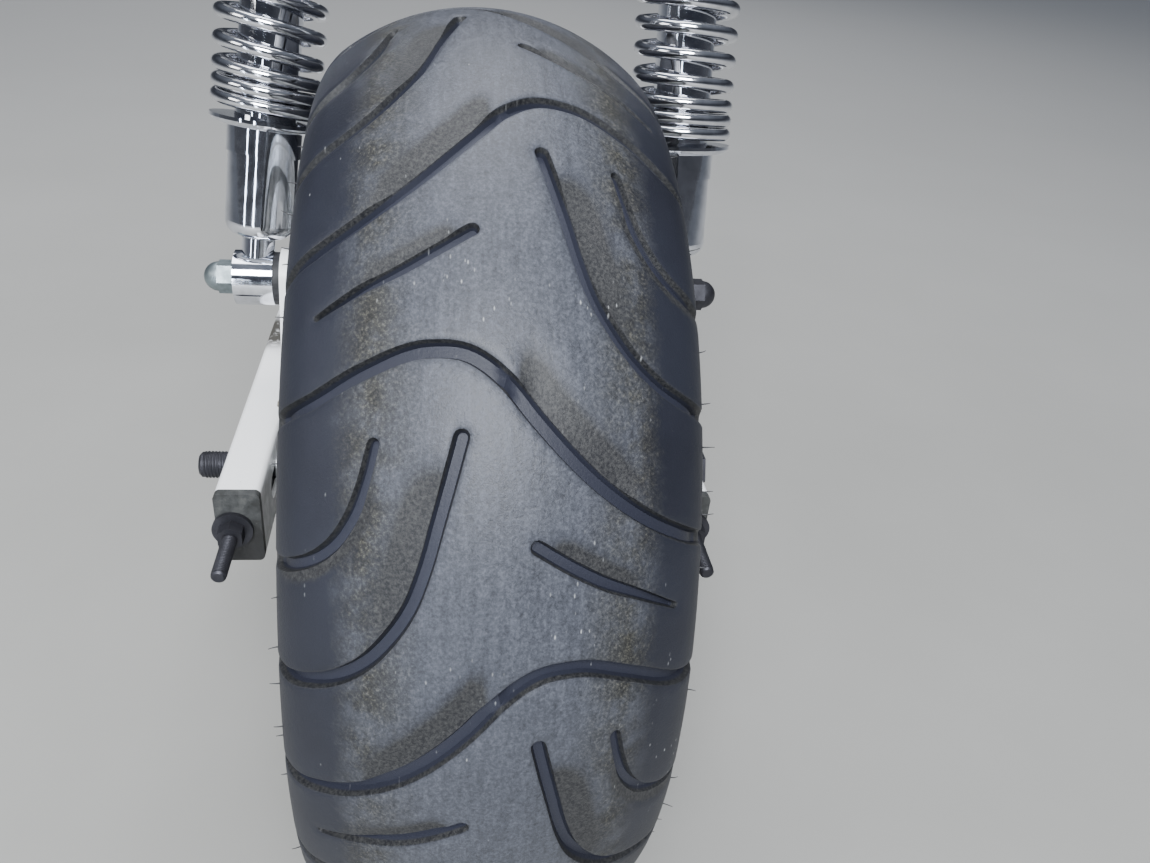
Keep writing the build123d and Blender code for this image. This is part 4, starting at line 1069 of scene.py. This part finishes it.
BEADS = {
    # width, height, seed
    "bracket": (0.0062, 0.0030, 3),
    "stud": (0.0056, 0.0026, 31),
    "bracket_foot": (0.0048, 0.0020, 7),
    "pivot": (0.0055, 0.0024, 11),
    "pivot_cap": (0.0060, 0.0024, 13),
    "brace": (0.0052, 0.0023, 17),
    "stay_lug": (0.0042, 0.0018, 23),
}
BEAD_SIDES = 9  # points in the half round
BEAD_STEP = 0.0005
BEAD_RIPPLE = 0.0026  # length of one ripple
BEAD_LOW = 0.84  # size between the ripples
BEAD_SWELL = 0.22
BEAD_UNEVEN = 0.04
BEAD_END = 0.25  # size at an open end, which grows over a few steps
BEAD_END_STEPS = 3.0
BEAD_SUNK = 0.0002
BEAD_SHARP = 75.0
FOOT_INSET = 0.002  # beads from the ends of a bracket's foot
FOOT_SIDE = 0.0004  # and from the arm's inner face
STUD_STEP = 0.0022  # bead's middle outside the stud
STUD_LEAN = 1.6
PIVOT_ARC = (118, 242)  # degrees of the tube that lie against an arm's end
CAP_INSET = 0.001
CAP_LEAN = 0.25


def steady(*direction):
    """The side that a bead stands out on, the same all along it."""
    out = Vector(direction).normalized()
    return lambda place: out


def around(centre, turned, lean=1.0):
    """The side away from a centre, turned to the left (1) or to the right (-1)."""
    aside = Vector((0, turned, 0))
    return lambda place: (lean * aside + (place - centre).normalized()).normalized()


def straight_path(start, end):
    start = Vector(start)
    run = Vector(end) - start
    count = max(2, int(run.length / BEAD_STEP))
    return [start + run * i / count for i in range(count + 1)]


def round_path(centre, radius, first=0, last=360):
    """Arc square to Y, angles in degrees from forward towards up."""
    sweep = radians(last - first)
    count = max(3, int(abs(sweep) * radius / BEAD_STEP))
    angles = [radians(first) + sweep * i / count for i in range(count + 1)]
    return [centre + Vector((radius * cos(a), 0, radius * sin(a))) for a in angles]


def bead_points(path, outward, width, height, chance, closed):
    """Rows of a half round that is laid along a path and swells with each ripple."""
    points = []
    travel = 0.0
    last = len(path) - 1
    for index, place in enumerate(path):
        before = path[index - 1] if index else (path[-2] if closed else path[0])
        after = path[index + 1] if index < last else (path[1] if closed else path[-1])
        run = (after - before).normalized()
        out = outward(place)
        across = run.cross(out).normalized()
        travel += (place - path[index - 1]).length if index else 0.0
        wave = (travel / BEAD_RIPPLE) % 1.0
        swell = BEAD_LOW + BEAD_SWELL * sin(pi * wave) + chance.uniform(-BEAD_UNEVEN, BEAD_UNEVEN)
        nearest_end = min(index, last - index)
        taper = 1.0 if closed else min(1.0, BEAD_END + nearest_end / BEAD_END_STEPS)
        for i in range(BEAD_SIDES):
            turn = pi * i / (BEAD_SIDES - 1)
            rise = sin(turn) * height * swell * taper - BEAD_SUNK
            points.append(place + across * cos(turn) * width / 2 * swell * taper + out * rise)
    return points


def bead_faces(last, closed):
    faces = []
    for row in range(last):
        for i in range(BEAD_SIDES - 1):
            a = row * BEAD_SIDES + i
            faces.append((a, a + 1, a + 1 + BEAD_SIDES, a + BEAD_SIDES))
    if not closed:
        faces.append(tuple(range(BEAD_SIDES)))
        faces.append(tuple(last * BEAD_SIDES + i for i in reversed(range(BEAD_SIDES))))
    return faces


def make_bead(name, kind, path, outward, seed_step=0, closed=False, paint="white_paint"):
    """Weld bead: a rippled half round laid along a path."""
    width, height, seed = BEADS[kind]
    chance = random.Random(seed + seed_step)
    points = bead_points(path, outward, width, height, chance, closed)
    faces = bead_faces(len(path) - 1, closed)
    piece = mesh_piece(name, points, faces, "swingarm", PAINTS[paint], sharp=BEAD_SHARP)


def bracket_welds(name, side, inner, top):
    """Beads along a bracket's foot, above and below it, and round its stud."""
    bracket_low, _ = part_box(f"shock_bracket_{name}")
    nut = box_middle(f"dome_nut_{name}")
    rear = nut.x - BRACKET_FOOT / 2 + FOOT_INSET
    front = nut.x + BRACKET_FOOT / 2 - FOOT_INSET
    beside = side * (inner + FOOT_SIDE)
    path = straight_path((rear, beside, top), (front, beside, top))
    make_bead(f"bracket_weld_{name}", "bracket", path, steady(0, side, 1), side, paint="stained_weld")

    stud = Vector((nut.x, side * (inner - BRACKET_WALL), nut.z))
    path = round_path(stud, STUD_RADIUS + STUD_STEP)
    make_bead(f"stud_weld_{name}", "stud", path, around(stud, -side, STUD_LEAN), side, closed=True)

    foot = bracket_low.z
    path = straight_path((rear, side * inner, foot), (front, side * inner, foot))
    make_bead(f"bracket_foot_weld_{name}", "bracket_foot", path, steady(0, -side, -1), side)


def pivot_welds(name, side, inner, outer, top):
    """Beads where an arm's end meets the pivot tube: round the inside, and along the top and the bottom."""
    tube_low, tube_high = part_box("pivot_tube")
    tube_radius = (tube_high.z - tube_low.z) / 2
    middle = Vector((0, side * inner, 0))
    path = round_path(middle, tube_radius, *PIVOT_ARC)
    make_bead(f"pivot_weld_{name}", "pivot", path, around(middle, -side), side)
    joint_x = -sqrt(tube_radius ** 2 - top ** 2)
    for place, level, up in (("top", top, 1), ("low", -top, -1)):
        start = (joint_x, side * (inner + CAP_INSET), level)
        end = (joint_x, side * (outer - CAP_INSET), level)
        outward = steady(CAP_LEAN, 0, up)
        make_bead(f"pivot_cap_weld_{name}_{place}", "pivot_cap", straight_path(start, end), outward, up)


def brace_weld(name, side, inner):
    brace_low, brace_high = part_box("cross_brace")
    middle = box_middle("cross_brace")
    centre = Vector((middle.x, side * inner, middle.z))
    path = round_path(centre, (brace_high.z - brace_low.z) / 2)
    make_bead(f"brace_weld_{name}", "brace", path, around(centre, -side), side, closed=True)


def stay_lug_weld():
    lug_low, lug_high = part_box("torque_stay_lug")
    lug = box_middle("torque_stay_lug")
    lug.y = lug_low.y
    path = round_path(lug, (lug_high.z - lug_low.z) / 2)
    make_bead("stay_lug_weld", "stay_lug", path, around(lug, 1), closed=True)


def make_welds():
    for name, side in SIDES:
        arm_low, arm_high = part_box(f"arm_{name}")
        inner, outer = sorted((abs(arm_low.y), abs(arm_high.y)))
        bracket_welds(name, side, inner, arm_high.z)
        pivot_welds(name, side, inner, outer, arm_high.z)
        brace_weld(name, side, inner)
    stay_lug_weld()


# Rubber hairs left by the mould's vents on the shoulders

HAIR_TURNS = (43.5, 49.5, 54.0, 58.6, 61.0, 66.5, 81.8)  # degrees from the top to the rear, on the right
HAIR_PLACES = (0.0745, 0.0795)  # along the section, from the middle line
HAIR_LENGTH = (0.0022, 0.0040)
HAIR_RADIUS = 0.00028
HAIR_ROOT = 0.0004  # below the rubber's surface
HAIR_LEAN = 0.5
HAIR_BEND = 0.45
HAIR_TAPER = 0.65
HAIR_SIDES = 5
HAIR_ROWS = 5
HAIR_SHARP = 80.0
HAIR_SEED = 5


def hair_points(angle, side, chance):
    """A thin bent cone that stands on the shoulder at an angle from the top."""
    length = chance.uniform(*HAIR_LENGTH)
    across = side * chance.uniform(*HAIR_PLACES)
    radius, y, out, sideways = (float(v) for v in section_place(np.array(across)))
    forward = Vector((-sin(angle), 0, cos(angle)))
    root = WHEEL + forward * radius + Vector((0, y, 0))
    normal = (forward * out + Vector((0, sideways, 0))).normalized()
    bend = Vector([chance.uniform(-HAIR_LEAN, HAIR_LEAN) for _ in range(3)])
    a, b = axes_along(normal)
    points = []
    for row in range(HAIR_ROWS):
        share = row / (HAIR_ROWS - 1)
        centre = root + normal * (length * share - HAIR_ROOT) + bend * length * HAIR_BEND * share ** 2
        thickness = HAIR_RADIUS * (1 - HAIR_TAPER * share)
        for i in range(HAIR_SIDES):
            spin = 2 * pi * i / HAIR_SIDES
            points.append(centre + thickness * (cos(spin) * a + sin(spin) * b))
    return points


def make_hairs():
    chance = random.Random(HAIR_SEED)
    hair_faces = tube_faces(HAIR_ROWS, HAIR_SIDES)
    hair_faces.append(tuple(range((HAIR_ROWS - 1) * HAIR_SIDES, HAIR_ROWS * HAIR_SIDES)))
    points = []
    faces = []
    period = 4 * pi / HALF_REPEATS
    for side, shift in ((-1, 0.0), (1, period / 2)):
        for repeat in range(HALF_REPEATS // 2):
            for turn in HAIR_TURNS:
                base = len(points)
                points += hair_points(radians(turn) + shift + repeat * period, side, chance)
                faces += [tuple(base + i for i in face) for face in hair_faces]
    hairs = mesh_piece("tyre_hairs", points, faces, "wheel", PAINTS["black_rubber"], sharp=HAIR_SHARP)


make_camera()
make_floor()
for light in LIGHTS:
    make_light(*light)
make_world()
dress_nodes()
make_tyre()
make_threads()
make_welds()
make_hairs()
